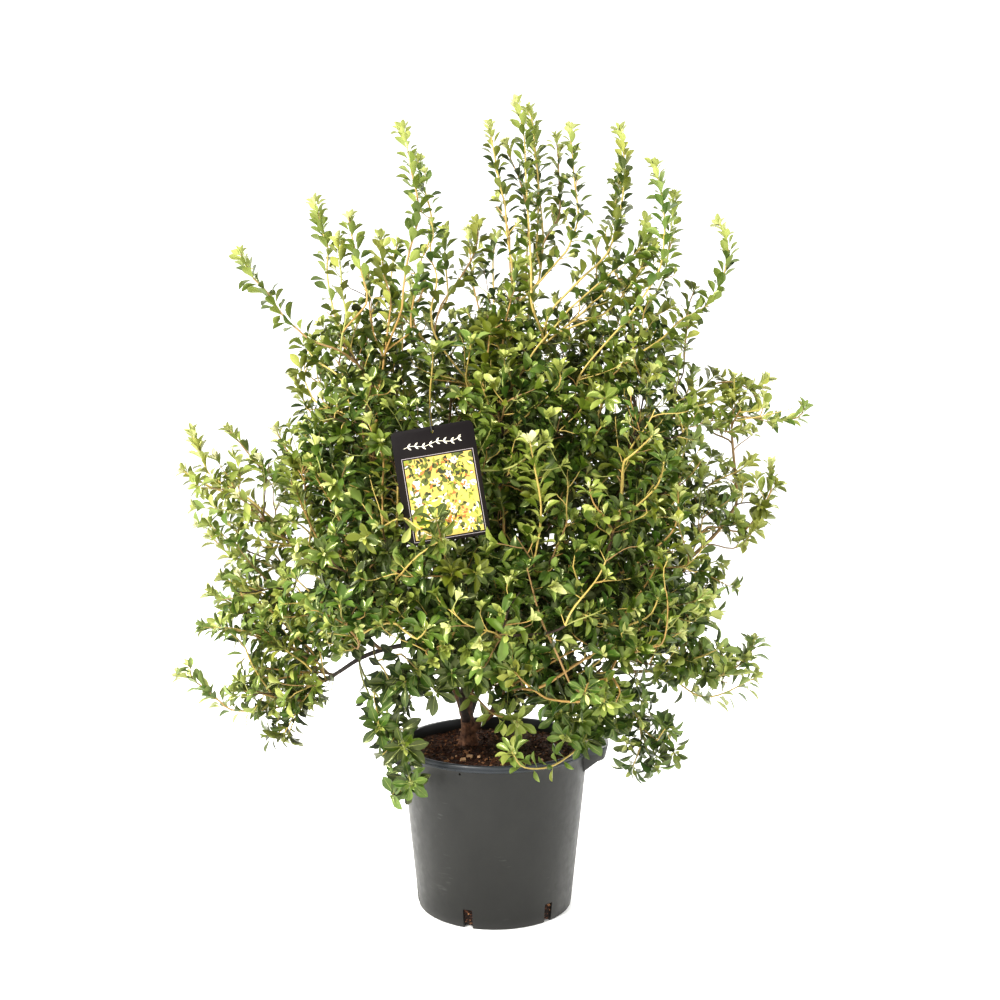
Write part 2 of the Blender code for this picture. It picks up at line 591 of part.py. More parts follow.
def mass_mesh(name, centre, half, seed, tips):
    """A lumpy rounded body of the given half sizes, drawn out to its tips."""
    bm = bmesh.new()
    bmesh.ops.create_uvsphere(bm, u_segments=MASS_SEGMENTS, v_segments=MASS_RINGS, radius=1.0)
    bmesh.ops.recalc_face_normals(bm, faces=bm.faces)
    bm = ordered(bm)
    shift = Vector((seed * 7.31, seed * 3.17, seed * 5.73))
    spin = Matrix.Rotation(seed * 1.1, 3, "Z") @ Matrix.Rotation(0.5 * math.sin(seed * 2.3), 3, "X")
    for v in bm.verts:
        d = (spin @ v.co).normalized()
        n = 0.75 * noise.noise(d * 1.5 + shift) + 0.45 * noise.noise(d * 3.1 + shift * 1.7)
        s = 1 + LUMP * n
        v.co = Vector(centre) + Vector((d.x * half[0], d.y * half[1], d.z * half[2])) * s
    for tip in tips:
        way = Vector(tip) - Vector(centre)
        peak = min(bm.verts, key=lambda v: (v.co - Vector(centre)).normalized().angle(way.normalized()) )
        ring = {e.other_vert(peak) for e in peak.link_edges}
        peak.co = Vector(tip)
        for v in ring:
            v.co = v.co.lerp(Vector(centre) + way * 0.80, 0.38)
    bmesh.ops.triangulate(bm, faces=bm.faces)
    bmesh.ops.recalc_face_normals(bm, faces=bm.faces)
    return mesh_from(ordered(bm), name)


def reach(half, direction):
    """How far an ellipsoid of these half sizes goes in a direction."""
    return 1.0 / math.sqrt(sum((direction[i] / half[i]) ** 2 for i in range(3)))


def trimmed(obj, point, normal):
    """Cuts off what lies beyond a plane and closes the cut."""
    bm = bmesh.new()
    bm.from_mesh(obj.data)
    sides = [(v.co - point).dot(normal) for v in bm.verts]
    if max(sides) <= 0:
        bm.free()
        return
    geom = list(bm.verts) + list(bm.edges) + list(bm.faces)
    bmesh.ops.bisect_plane(bm, geom=geom, dist=0.0002, plane_co=point, plane_no=normal, clear_outer=True)
    rim = [e for e in bm.edges if e.is_boundary]
    bmesh.ops.holes_fill(bm, edges=rim, sides=0)
    close_up(bm)
    put(obj, ordered(bm))


masses = {}
for index, (name, centre, half, tips) in enumerate(MASSES):
    masses[name] = add(name, mass_mesh(name, centre, half, index + 1, tips), parts, leaf_green)

for i, (name_a, centre_a, half_a, _) in enumerate(MASSES):
    for name_b, centre_b, half_b, _ in MASSES[i + 1:]:
        between = Vector(centre_b) - Vector(centre_a)
        span = between.length
        way = between / span
        ra, rb = reach(half_a, way), reach(half_b, way)
        if span > 1.35 * (ra + rb) or not boxes_meet(masses[name_a], masses[name_b]):
            continue
        if not tree_of(masses[name_a]).overlap(tree_of(masses[name_b])) and span > ra + rb:
            continue
        point = Vector(centre_a) + way * (span * ra / (ra + rb))
        trimmed(masses[name_a], point - way * GAP, way)
        trimmed(masses[name_b], point + way * GAP, -way)

for index, name in enumerate(masses):
    clear_of(masses[name], list(masses.values())[:index])

shoots = {}
for index, (name, foot, tip, bend, radius) in enumerate(SHOOTS):
    shoots[name] = add(name, shoot_mesh(name, foot, tip, bend, radius, index + 3), parts, leaf_light if name.startswith("shoot_top") else leaf_green)
    clear_of(shoots[name], list(masses.values()) + [s for s in shoots.values() if s.name != name] + [pot], near=Vector(tip))

# ---------------------------------------------------------------- boughs
limbs = []
for name, points, r0, r1 in BOUGHS:
    bough = add(name, limb(name, points, r0, r1, count=2 * len(points)), parts, bark_brown)
    clear_of(bough, [trunk] + limbs, near=Vector(points[1]))
    clear_of(bough, list(masses.values()) + list(shoots.values()), near=Vector(points[1]))
    limbs.append(bough)

# ---------------------------------------------------------------- plant label and its tie
def rounded_card(width, height, radius, steps=2):
    pts = []
    for cx, cy, start in ((1, 1, 0), (-1, 1, 90), (-1, -1, 180), (1, -1, 270)):
        for k in range(steps + 1):
            a = math.radians(start + 90.0 * k / steps)
            pts.append((cx * (width / 2 - radius) + radius * math.cos(a), cy * (height / 2 - radius) + radius * math.sin(a)))
    return pts


label = add("plant_label", prism("plant_label", rounded_card(LABEL_WIDTH, LABEL_HEIGHT, LABEL_CORNER_R), -LABEL_THICK / 2, LABEL_THICK / 2), parts, card_black)
bm = bmesh.new()
bmesh.ops.create_cone(bm, cap_ends=True, segments=8, radius1=LABEL_HOLE_R, radius2=LABEL_HOLE_R, depth=0.010)
punch = add("label_hole", mesh_from(bm, "label_hole"), cutters)
punch.location = (0.0, LABEL_HEIGHT / 2 - 0.009, 0.0)
bpy.context.view_layer.update()
boolean(label, punch, "DIFFERENCE")
bpy.data.objects.remove(punch, do_unlink=True)
stand = (
    Matrix.Translation(LABEL_CENTRE)
    @ Matrix.Rotation(math.radians(LABEL_TURN_DEG), 4, "Y")
    @ Matrix.Rotation(math.radians(90.0 - LABEL_LEAN_DEG), 4, "X")
)
label.data.transform(stand)
keep_main_piece(label)

hole = stand @ Vector((0.0, LABEL_HEIGHT / 2 - 0.009, 0.0))
front = (stand.to_3x3() @ Vector((0, 0, 1))).normalized()
crest = (stand.to_3x3() @ Vector((0, 1, 0))).normalized()
tie_path = (
    hole + front * 0.0035 - crest * 0.0002,
    hole + front * 0.0046 + crest * 0.0080,
    hole + front * 0.0030 + crest * 0.0165,
    hole - front * 0.0120 + crest * 0.0300,
    hole - front * 0.0400 + crest * 0.0420,
    hole - front * 0.0900 + crest * 0.0520,
)
tie = add("label_tie", limb("label_tie", tie_path, TIE_R, TIE_R, sides=6, count=8), parts, tie_plastic)
for mass in masses.values():
    clear_of(mass, [label])
clear_of(tie, [label] + list(masses.values()), near=tie_path[1])

for obj in masses.values():
    bm = bmesh.new()
    bm.from_mesh(obj.data)
    bmesh.ops.dissolve_limit(bm, angle_limit=math.radians(4.0), verts=bm.verts, edges=bm.edges)
    bmesh.ops.triangulate(bm, faces=bm.faces)
    put(obj, ordered(bm))

for obj in parts.objects:
    if obj.name in {"pot", "potting_soil", "trunk"} or obj.name.startswith(("bough", "label_tie")):
        obj.data.shade_smooth()
        obj.data.set_sharp_from_angle(angle=math.radians(35))
for obj in list(cutters.objects):
    bpy.data.objects.remove(obj, do_unlink=True)
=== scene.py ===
import json
import math

import bmesh
import bpy
import numpy as np
from mathutils import Matrix, Vector, noise
from mathutils.bvhtree import BVHTree

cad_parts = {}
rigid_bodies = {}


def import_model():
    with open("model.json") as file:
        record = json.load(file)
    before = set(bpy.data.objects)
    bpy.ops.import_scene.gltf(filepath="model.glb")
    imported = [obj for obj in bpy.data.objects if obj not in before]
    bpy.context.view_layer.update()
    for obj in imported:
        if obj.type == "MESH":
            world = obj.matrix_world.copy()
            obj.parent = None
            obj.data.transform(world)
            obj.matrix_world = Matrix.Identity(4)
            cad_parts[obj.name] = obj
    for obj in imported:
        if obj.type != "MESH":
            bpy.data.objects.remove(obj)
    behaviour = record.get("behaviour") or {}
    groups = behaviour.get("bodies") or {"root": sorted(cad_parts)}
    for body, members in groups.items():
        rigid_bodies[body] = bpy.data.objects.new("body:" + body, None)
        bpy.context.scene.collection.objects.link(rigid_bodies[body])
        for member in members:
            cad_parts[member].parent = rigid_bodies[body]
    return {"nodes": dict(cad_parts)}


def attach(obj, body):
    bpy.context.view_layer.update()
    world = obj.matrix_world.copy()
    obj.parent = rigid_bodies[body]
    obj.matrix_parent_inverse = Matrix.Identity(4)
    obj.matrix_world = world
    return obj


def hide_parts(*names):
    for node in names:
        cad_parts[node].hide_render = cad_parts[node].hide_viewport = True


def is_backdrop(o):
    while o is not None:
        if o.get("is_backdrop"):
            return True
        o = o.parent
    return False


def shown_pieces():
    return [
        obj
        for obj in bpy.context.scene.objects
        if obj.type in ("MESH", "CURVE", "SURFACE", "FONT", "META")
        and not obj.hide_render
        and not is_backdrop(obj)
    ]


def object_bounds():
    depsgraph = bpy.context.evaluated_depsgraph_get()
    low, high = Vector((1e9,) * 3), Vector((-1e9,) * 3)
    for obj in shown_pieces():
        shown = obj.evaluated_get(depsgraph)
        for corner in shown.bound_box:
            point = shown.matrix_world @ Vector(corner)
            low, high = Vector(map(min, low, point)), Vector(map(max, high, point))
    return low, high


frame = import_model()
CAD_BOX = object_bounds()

rng = np.random.default_rng(41207)
NODES = frame["nodes"]
UP = np.array((0.0, 0.0, 1.0))

# ------------------------------------------------------------------ camera, as the photograph was taken
FOCAL_PX = 1145.0  # focal length in picture widths of 1000
HORIZON_ROW = 434.0
CAM = np.array((0.010, -2.283, 0.924))


def at(px, py, y):
    """The point seen at a pixel of the 1000 x 1000 picture, y metres behind the pot's axis."""
    d = y - CAM[1]
    return np.array((CAM[0] + (px - 500.0) * d / FOCAL_PX, y, CAM[2] - (py - HORIZON_ROW) * d / FOCAL_PX))


def seen(p):
    """Pixel of a point, or of an array of points."""
    p = np.asarray(p, float)
    d = p[..., 1] - CAM[1]
    return np.stack((500.0 + FOCAL_PX * (p[..., 0] - CAM[0]) / d, HORIZON_ROW - FOCAL_PX * (p[..., 2] - CAM[2]) / d), -1)


# ------------------------------------------------------------------ sizes shared with the solid model
POT_HEIGHT, POT_BASE_R, POT_TOP_R, POT_WALL = 0.315, 0.1516, 0.1848, 0.0030
RIM_R, RIM_DEPTH, RIM_INNER_R = 0.1890, 0.013, 0.1806
SLOT_COUNT, SLOT_FIRST_DEG, SLOT_WIDTH, SLOT_HEIGHT = 6, -109.0, 0.018, 0.036
TIE_HOLE_R, TIE_HOLE_DEG, TIE_HOLE_Z = 0.0022, -110.5, 0.2965
LUG_AZIMUTHS_DEG, LUG_REACH_R, LUG_FOOT_REACH_R, LUG_HALF_WIDTH, LUG_DROP, LUG_SKIN = (0.0, 180.0), 0.2262, 0.2200, 0.068, 0.026, 0.0030
GUSSET_ACROSS, GUSSET_THICK, GUSSET_FOOT_Z = 0.054, 0.0030, 0.2610
SOIL_TOP, SOIL_EDGE_DROP = 0.2970, 0.0045
TRUNK_FOOT = Vector((-0.0530, 0.0330, 0.2973))
TRUNK_FORK = Vector((-0.0600, 0.0300, 0.3700))
LABEL_WIDTH, LABEL_HEIGHT, LABEL_THICK, LABEL_CORNER_R = 0.1420, 0.1960, 0.0016, 0.010
LABEL_CENTRE = Vector((-0.0910, -0.3450, 0.8410))
LABEL_TURN_DEG, LABEL_LEAN_DEG, LABEL_HOLE_R, TIE_R = -9.5, 5.0, 0.0030, 0.0011

BOUGHS = (
    ("bough_left", ((-0.0605, 0.0295, 0.360), (-0.0860, 0.0270, 0.424), (-0.1250, 0.0200, 0.505), (-0.1900, 0.0150, 0.600)), 0.0088, 0.0060),
    ("bough_centre", ((-0.0570, 0.0330, 0.358), (-0.0480, 0.0450, 0.420), (-0.0250, 0.0500, 0.490), (0.0000, 0.0350, 0.580)), 0.0094, 0.0068),
    ("bough_right", ((-0.0520, 0.0280, 0.322), (-0.0150, 0.0240, 0.356), (0.0250, 0.0240, 0.394), (0.0900, 0.0150, 0.520), (0.1350, 0.0050, 0.590)), 0.0082, 0.0058),
    ("bough_back", ((-0.0560, 0.0360, 0.345), (-0.0350, 0.0850, 0.392), (0.0000, 0.1500, 0.462), (0.0200, 0.2300, 0.560)), 0.0072, 0.0050),
    ("bough_front", ((-0.0580, 0.0250, 0.349), (-0.0650, -0.0200, 0.405), (-0.0500, -0.0900, 0.470), (-0.0350, -0.1750, 0.560)), 0.0068, 0.0048),
    ("bough_left_low", ((-0.1050, 0.0240, 0.470), (-0.1400, 0.0420, 0.4950), (-0.1950, 0.0500, 0.4920), (-0.2650, 0.0480, 0.4720), (-0.3260, 0.0400, 0.4360), (-0.3900, 0.0300, 0.4050)), 0.0056, 0.0036),
    ("bough_right_low", ((-0.0050, 0.0300, 0.366), (0.0400, 0.0500, 0.3780), (0.0820, 0.0650, 0.3960), (0.1200, 0.0800, 0.4120), (0.1930, 0.0980, 0.4230), (0.3000, 0.0850, 0.4330), (0.3900, 0.0500, 0.4450)), 0.0056, 0.0036),
)


# ------------------------------------------------------------------ materials
def node_material(name, rgb, roughness, specular=0.5, coat=0.0, coat_rough=0.3, sheen=0.0, sheen_tint=(1, 1, 1)):
    mat = bpy.data.materials.new(name)
    mat.use_nodes = True
    sh = mat.node_tree.nodes["Principled BSDF"]
    sh.inputs["Base Color"].default_value = (*rgb, 1.0)
    sh.inputs["Roughness"].default_value = roughness
    sh.inputs["Specular IOR Level"].default_value = specular
    sh.inputs["Coat Weight"].default_value = coat
    sh.inputs["Coat Roughness"].default_value = coat_rough
    sh.inputs["Sheen Weight"].default_value = sheen
    sh.inputs["Sheen Tint"].default_value = (*sheen_tint, 1.0)
    mat.diffuse_color = (*rgb, 1.0)
    return mat, mat.node_tree, sh


def relief(nt, sh, scale, distance, strength=0.6, detail=4.0, stretch=(1, 1, 1), roughness=0.55):
    """Fine relief from noise at a real scale (features per metre)."""
    geo = nt.nodes.new("ShaderNodeTexCoord")
    mp = nt.nodes.new("ShaderNodeMapping")
    mp.inputs["Scale"].default_value = stretch
    tex = nt.nodes.new("ShaderNodeTexNoise")
    tex.inputs["Scale"].default_value = scale
    tex.inputs["Detail"].default_value = detail
    tex.inputs["Roughness"].default_value = roughness
    bump = nt.nodes.new("ShaderNodeBump")
    bump.inputs["Strength"].default_value = strength
    bump.inputs["Distance"].default_value = distance
    nt.links.new(geo.outputs["Object"], mp.inputs["Vector"])
    nt.links.new(mp.outputs["Vector"], tex.inputs["Vector"])
    nt.links.new(tex.outputs["Fac"], bump.inputs["Height"])
    nt.links.new(bump.outputs["Normal"], sh.inputs["Normal"])
    return geo, mp, tex, bump


LEAF_TONES = {
    "deep": ((0.0105, 0.0205, 0.0018), 0.36),
    "dark": ((0.0235, 0.0440, 0.0035), 0.31),
    "green": ((0.0490, 0.0830, 0.0070), 0.29),
    "mid": ((0.0980, 0.1360, 0.0160), 0.30),
    "fresh": ((0.1800, 0.2200, 0.0420), 0.33),
    "bright": ((0.3050, 0.3380, 0.0900), 0.38),
    "lime": ((0.4600, 0.4820, 0.1900), 0.45),
    "pale": ((0.6000, 0.5850, 0.3600), 0.50),
    "cool_dark": ((0.0175, 0.0410, 0.0070), 0.30),
    "cool": ((0.0410, 0.0860, 0.0120), 0.28),
    "olive": ((0.0980, 0.1150, 0.0110), 0.33),
    "gold": ((0.2700, 0.2850, 0.0560), 0.36),
    "cool_mid": ((0.0800, 0.1400, 0.0200), 0.29),
    "cool_fresh": ((0.1600, 0.2200, 0.0540), 0.32),
}
TONES = list(LEAF_TONES)
leaf_mats = {}
for tone, (rgb, rough) in LEAF_TONES.items():
    mat, nt, sh = node_material("leaf_" + tone, rgb, rough, specular=0.70, coat=0.15, coat_rough=0.16)
    sh.inputs["Specular Tint"].default_value = (0.94, 1.0, 0.46, 1.0)
    sh.inputs["Coat Tint"].default_value = (1.0, 1.0, 0.85, 1.0)
    relief(nt, sh, 420.0, 0.0006, 0.35, 3.0)
    leaf_mats[tone] = mat

WOOD_TONES = {
    "bark_old": ((0.038, 0.024, 0.017), 0.85),
    "bark_brown": ((0.100, 0.062, 0.032), 0.78),
    "bark_tan": ((0.250, 0.155, 0.062), 0.65),
    "rind_orange": ((0.360, 0.222, 0.070), 0.52),
    "rind_yellow": ((0.440, 0.330, 0.096), 0.50),
    "rind_green": ((0.290, 0.300, 0.085), 0.50),
}
wood_mats = {}
for tone, (rgb, rough) in WOOD_TONES.items():
    mat, nt, sh = node_material(tone, rgb, rough, specular=0.35)
    relief(nt, sh, 260.0, 0.0008, 0.5, 4.0)
    wood_mats[tone] = mat
rib_mat, nt, sh = node_material("leaf_rib", (0.240, 0.272, 0.062), 0.45, specular=0.4)
relief(nt, sh, 700.0, 0.0003, 0.3, 2.0)


# ------------------------------------------------------------------ mesh helpers
def build(name, verts, tris, quads, mat, smooth=True):
    """A mesh object from arrays of points, triangles and quads."""
    verts = np.asarray(verts, np.float32).reshape(-1, 3)
    tris = np.asarray(tris, np.int32).reshape(-1, 3)
    quads = np.asarray(quads, np.int32).reshape(-1, 4)
    me = bpy.data.meshes.new(name)
    me.vertices.add(len(verts))
    me.vertices.foreach_set("co", verts.ravel())
    me.loops.add(3 * len(tris) + 4 * len(quads))
    me.loops.foreach_set("vertex_index", np.concatenate((tris.ravel(), quads.ravel())))
    me.polygons.add(len(tris) + len(quads))
    starts = np.concatenate((np.arange(len(tris)) * 3, 3 * len(tris) + np.arange(len(quads)) * 4)).astype(np.int32)
    me.polygons.foreach_set("loop_start", starts)
    me.polygons.foreach_set("use_smooth", np.full(len(starts), smooth))
    me.update(calc_edges=True)
    if isinstance(mat, (list, tuple)):
        for m in mat:
            me.materials.append(m)
    else:
        me.materials.append(mat)
    obj = bpy.data.objects.new(name, me)
    bpy.context.scene.collection.objects.link(obj)
    return obj


def from_bmesh(bm, name, mat, smooth=True):
    me = bpy.data.meshes.new(name)
    bm.to_mesh(me)
    bm.free()
    for poly in me.polygons:
        poly.use_smooth = smooth
    for m in mat if isinstance(mat, (list, tuple)) else [mat]:
        me.materials.append(m)
    obj = bpy.data.objects.new(name, me)
    bpy.context.scene.collection.objects.link(obj)
    return obj


def evaluated(obj):
    """Puts an object's modifiers into its mesh."""
    dg = bpy.context.evaluated_depsgraph_get()
    dg.update()
    me = bpy.data.meshes.new_from_object(obj.evaluated_get(dg))
    obj.modifiers.clear()
    obj.data = me
    return obj


def unit(v):
    n = np.linalg.norm(v, axis=-1, keepdims=True)
    return v / np.maximum(n, 1e-9)


def catmull(points, count):
    pts = np.asarray(points, float)
    ext = np.vstack((2 * pts[0] - pts[1], pts, 2 * pts[-1] - pts[-2]))
    s = np.linspace(0, len(pts) - 1, count)
    i = np.minimum(s.astype(int), len(pts) - 2)
    t = (s - i)[:, None]
    p0, p1, p2, p3 = ext[i], ext[i + 1], ext[i + 2], ext[i + 3]
    return 0.5 * (2 * p1 + (p2 - p0) * t + (2 * p0 - 5 * p1 + 4 * p2 - p3) * t ** 2 + (3 * p1 - p0 - 3 * p2 + p3) * t ** 3)


# ------------------------------------------------------------------ the crown's space, read from the solid masses
CELL = 0.016
LOW = np.array([CAD_BOX[0][i] for i in range(3)]) - 3 * CELL
SHAPE = tuple(int(math.ceil((CAD_BOX[1][i] - LOW[i]) / CELL)) + 4 for i in range(3))
inside = np.zeros(SHAPE, bool)
thin = np.zeros(SHAPE, np.int8)  # 1 in a hanging spray, 2 in a single shoot
leafy = sorted(n for n in NODES if n.startswith(("foliage_", "shoot_", "droop_")))
for name in leafy:
    me = NODES[name].data
    bm = bmesh.new()
    bm.from_mesh(me)
    tree = BVHTree.FromBMesh(bm)
    bm.free()
    co = np.array([v.co for v in me.vertices], float)
    lo = np.maximum(((co.min(0) - LOW) / CELL).astype(int) - 1, 0)
    hi = ((co.max(0) - LOW) / CELL).astype(int) + 2
    for i in range(lo[0], hi[0]):
        for j in range(lo[1], hi[1]):
            for k in range(lo[2], hi[2]):
                if inside[i, j, k]:
                    continue
                p = Vector(LOW + (np.array((i, j, k)) + 0.5) * CELL)
                near, normal, _, dist = tree.find_nearest(p)
                if (p - near).dot(normal) < 0 or dist < 0.004:
                    inside[i, j, k] = True
                    if name.startswith("droop_"):
                        thin[i, j, k] = 1
                    elif name.startswith("shoot_"):
                        thin[i, j, k] = 2


def shrunk(mask):
    out = mask.copy()
    for axis in range(3):
        out &= np.roll(mask, 1, axis) & np.roll(mask, -1, axis)
    return out


depth = np.zeros(SHAPE, np.int16)
layer = inside.copy()
while layer.any():
    depth[layer] += 1
    layer = shrunk(layer)


def thin_at(p):
    i = np.clip(((np.asarray(p) - LOW) / CELL).astype(int), 0, np.array(SHAPE) - 1)
    return int(thin[i[0], i[1], i[2]])


def depth_at(p):
    """How deep in the crown a point is, in metres, or 0 outside."""
    i = ((np.asarray(p) - LOW) / CELL).astype(int)
    i = np.clip(i, 0, np.array(SHAPE) - 1)
    return depth[i[..., 0], i[..., 1], i[..., 2]] * CELL


# ------------------------------------------------------------------ gaps with sky behind, as pixel, pixel, radius
SKY_GAPS = (
    (484, 287, 8.5), (464, 300, 9), (422, 706, 10), (446, 711, 8), (383, 664, 9), (405, 657, 8), (340, 687, 9), (362, 672, 6), (325, 672, 6), (662, 405, 8), (640, 403, 8),
    (315, 372, 7), (312, 392, 6), (359, 294, 6.5), (353, 275, 6), (268, 495, 7.5), (275, 512, 6), (378, 293, 5), (370, 302, 5), (335, 278, 6), (337, 305, 5), (306, 582, 9), (297, 585, 8),
    (580, 313, 8.5), (574, 304, 6), (274, 575, 6), (398, 276, 6), (499, 259, 6), (503, 275, 5), (455, 262, 5.5), (468, 258, 5), (295, 445, 5.5), (303, 534, 5.5), (546, 175, 4.5), (509, 168, 4.5),
    (602, 407, 6), (614, 407, 5), (339, 360, 5.5), (243, 486, 5.5), (586, 281, 6), (412, 265, 5), (459, 350, 5), (566, 165, 5), (601, 248, 5), (511, 223, 4), (570, 296, 6), (691, 678, 5),
    (238, 622, 4.5), (730, 682, 5), (688, 389, 5), (424, 220, 5.5), (701, 454, 5), (436, 676, 4.5), (541, 303, 4), (260, 594, 5), (443, 298, 4.5), (407, 286, 4.5), (687, 579, 4.5), (450, 284, 4.5),
    (543, 226, 4), (513, 156, 4), (373, 640, 4.5), (551, 154, 4.5), (710, 438, 5), (285, 627, 4), (670, 434, 4), (249, 551, 4.5), (445, 314, 4), (594, 268, 4), (647, 270, 4), (612, 318, 4),
    (745, 292, 21), (506, 86, 9), (742, 330, 12), (372, 782, 14), (358, 770, 12),
)
GAPS = np.array(SKY_GAPS, float)
LABEL_QUAD = np.array(((386, 430), (476, 411), (494, 536), (407, 552)), float)


def in_gap(px, slack=1.0):
    d = np.hypot(px[..., None, 0] - GAPS[:, 0], px[..., None, 1] - GAPS[:, 1])
    return (d < GAPS[:, 2] * slack).any(-1)


def open_front(px, y):
    """Where the foot of the trunk, the soil and the pot are seen free of leaves."""
    x, v = px[..., 0], px[..., 1]
    hit = (x > 444) & (x < 506) & (v > 702)
    hit |= (x > 412) & (x < 522) & (v > 730)
    hit |= (x > 404) & (x < 604) & (v > 743)
    return hit & (y < 0.16)


def over_label(px):
    ins = np.ones(px.shape[:-1], bool)
    for a, b in zip(LABEL_QUAD, np.roll(LABEL_QUAD, -1, 0)):
        ins &= ((b[0] - a[0]) * (px[..., 1] - a[1]) - (b[1] - a[1]) * (px[..., 0] - a[0])) > 0
    return ins


# ------------------------------------------------------------------ the growing skeleton
MAX = 120000
pos = np.zeros((MAX, 3))
way = np.zeros((MAX, 3))
run = np.zeros(MAX)  # length of wood back to the trunk
rank = np.zeros(MAX, np.int8)
count = 0
chains = []  # each: parent node, its own nodes, rank, kind and what it carries


def lay(parent, points, level, kind, **facts):
    """Adds one stem along points, growing from a node of the skeleton."""
    global count
    points = np.asarray(points, float)
    n = len(points)
    ids = np.arange(count, count + n)
    pos[ids] = points
    back = pos[parent] if parent >= 0 else points[0]
    steps = np.diff(np.vstack((back, points)), axis=0)
    way[ids] = unit(steps)
    if parent < 0:
        way[ids[0]] = unit(points[1] - points[0])
    run[ids] = (run[parent] if parent >= 0 else 0.0) + np.cumsum(np.linalg.norm(steps, axis=1))
    rank[ids] = level
    count += n
    chains.append({"parent": parent, "ids": ids, "level": level, "kind": kind, **facts})
    return ids


def growth_way(p):
    """Where a free shoot heads at a point: outwards and up, more upright towards the top."""
    rel = p - np.array((-0.02, 0.0, 0.60))
    out = unit(rel * np.array((1.0, 1.0, 0.45)))
    lift = float(np.interp(p[2], (0.30, 0.50, 0.80, 1.10), (-0.10, 0.35, 0.95, 1.70)))
    return unit(out + lift * UP)


def find_parent(target, top_level, low_level=0, end=None, bend=0.45):
    """The skeleton node that a stem to this target grows from at the least cost."""
    P = pos[:count]
    v = target - P
    d = np.linalg.norm(v, axis=1)
    c = np.einsum("ij,ij->i", v, way[:count]) / np.maximum(d, 1e-6)
    cost = d * (1.3 - bend * c) + 0.16 * run[:count]
    if end is not None:  # a shoot is reached from behind
        cost += 0.45 * d * (1.0 - (v @ end) / np.maximum(d, 1e-6))
    cost += 0.9 * np.maximum(P[:, 2] - target[2] + 0.01, 0) * (target[2] > 0.5)
    r_t = np.hypot(target[0], target[1])
    r_p = np.hypot(P[:, 0], P[:, 1])
    cost += 0.8 * np.maximum(r_p - r_t - 0.01, 0)
    cost[(rank[:count] > top_level) | (rank[:count] < low_level)] = 1e9
    cost[d < 0.018] = 1e9
    return int(np.argmin(cost))


def bent(p0, d0, p1, d1, step, wobble, pull=0.80):
    """Points of a stem from p0 to p1 with those end directions, without p0."""
    span = np.linalg.norm(p1 - p0)
    n = max(2, int(math.ceil(span * 1.08 / step)))
    t = np.linspace(0, 1, n + 1)[1:, None]
    m0, m1 = d0 * span * pull, d1 * span * pull
    pts = (2 * t ** 3 - 3 * t ** 2 + 1) * p0 + (t ** 3 - 2 * t ** 2 + t) * m0 + (-2 * t ** 3 + 3 * t ** 2) * p1 + (t ** 3 - t ** 2) * m1
    if wobble:
        a = rng.normal(size=3) * wobble * span
        b = rng.normal(size=3) * wobble * 0.5 * span
        pts = pts + a * np.sin(math.pi * t) * (1 - t * 0.0) * t + b * np.sin(2 * math.pi * t)
        pts[-1] = p1
    return pts


def grow_to(target, level, top_level, step, wobble, end=None, kind="wood", low_level=0, **facts):
    target = np.asarray(target, float)
    parent = find_parent(target, top_level, low_level, end)
    p0 = pos[parent]
    go = unit(target - p0)
    d0 = unit(0.75 * way[parent] + 0.75 * go)
    d1 = unit(go + 0.6 * growth_way(target)) if end is None else np.asarray(end, float)
    if d0 @ go < 0.45:
        d0 = unit(d0 + (0.75 - d0 @ go) * go)
    if d1 @ go < 0.30:
        d1 = unit(d1 + (0.80 - d1 @ go) * go)
    return lay(parent, bent(p0, d0, target, d1, step, wobble, pull=0.70), level, kind, **facts)


# level 0: the main boughs that the solid model has
for name, points, r0, r1 in BOUGHS:
    path = catmull(points, 8 + 6 * len(points))
    lay(-1, path, 0, "bough", name=name, r0=r0, r1=r1)
for c in chains:  # wood run counted from the fork
    run[c["ids"]] += np.linalg.norm(pos[c["ids"][0]] - np.array(TRUNK_FORK))

# level 1: limbs that carry on from the boughs through the middle of each mass
centres = {}
for name in leafy:
    co = np.array([v.co for v in NODES[name].data.vertices], float)
    centres[name] = (co.min(0) + co.max(0)) / 2
order = sorted((n for n in leafy if n.startswith("foliage_")), key=lambda n: np.linalg.norm(centres[n] - np.array(TRUNK_FORK)))
for name in order:
    grow_to(centres[name] + rng.normal(size=3) * 0.012, 1, 1, 0.016, 0.05)

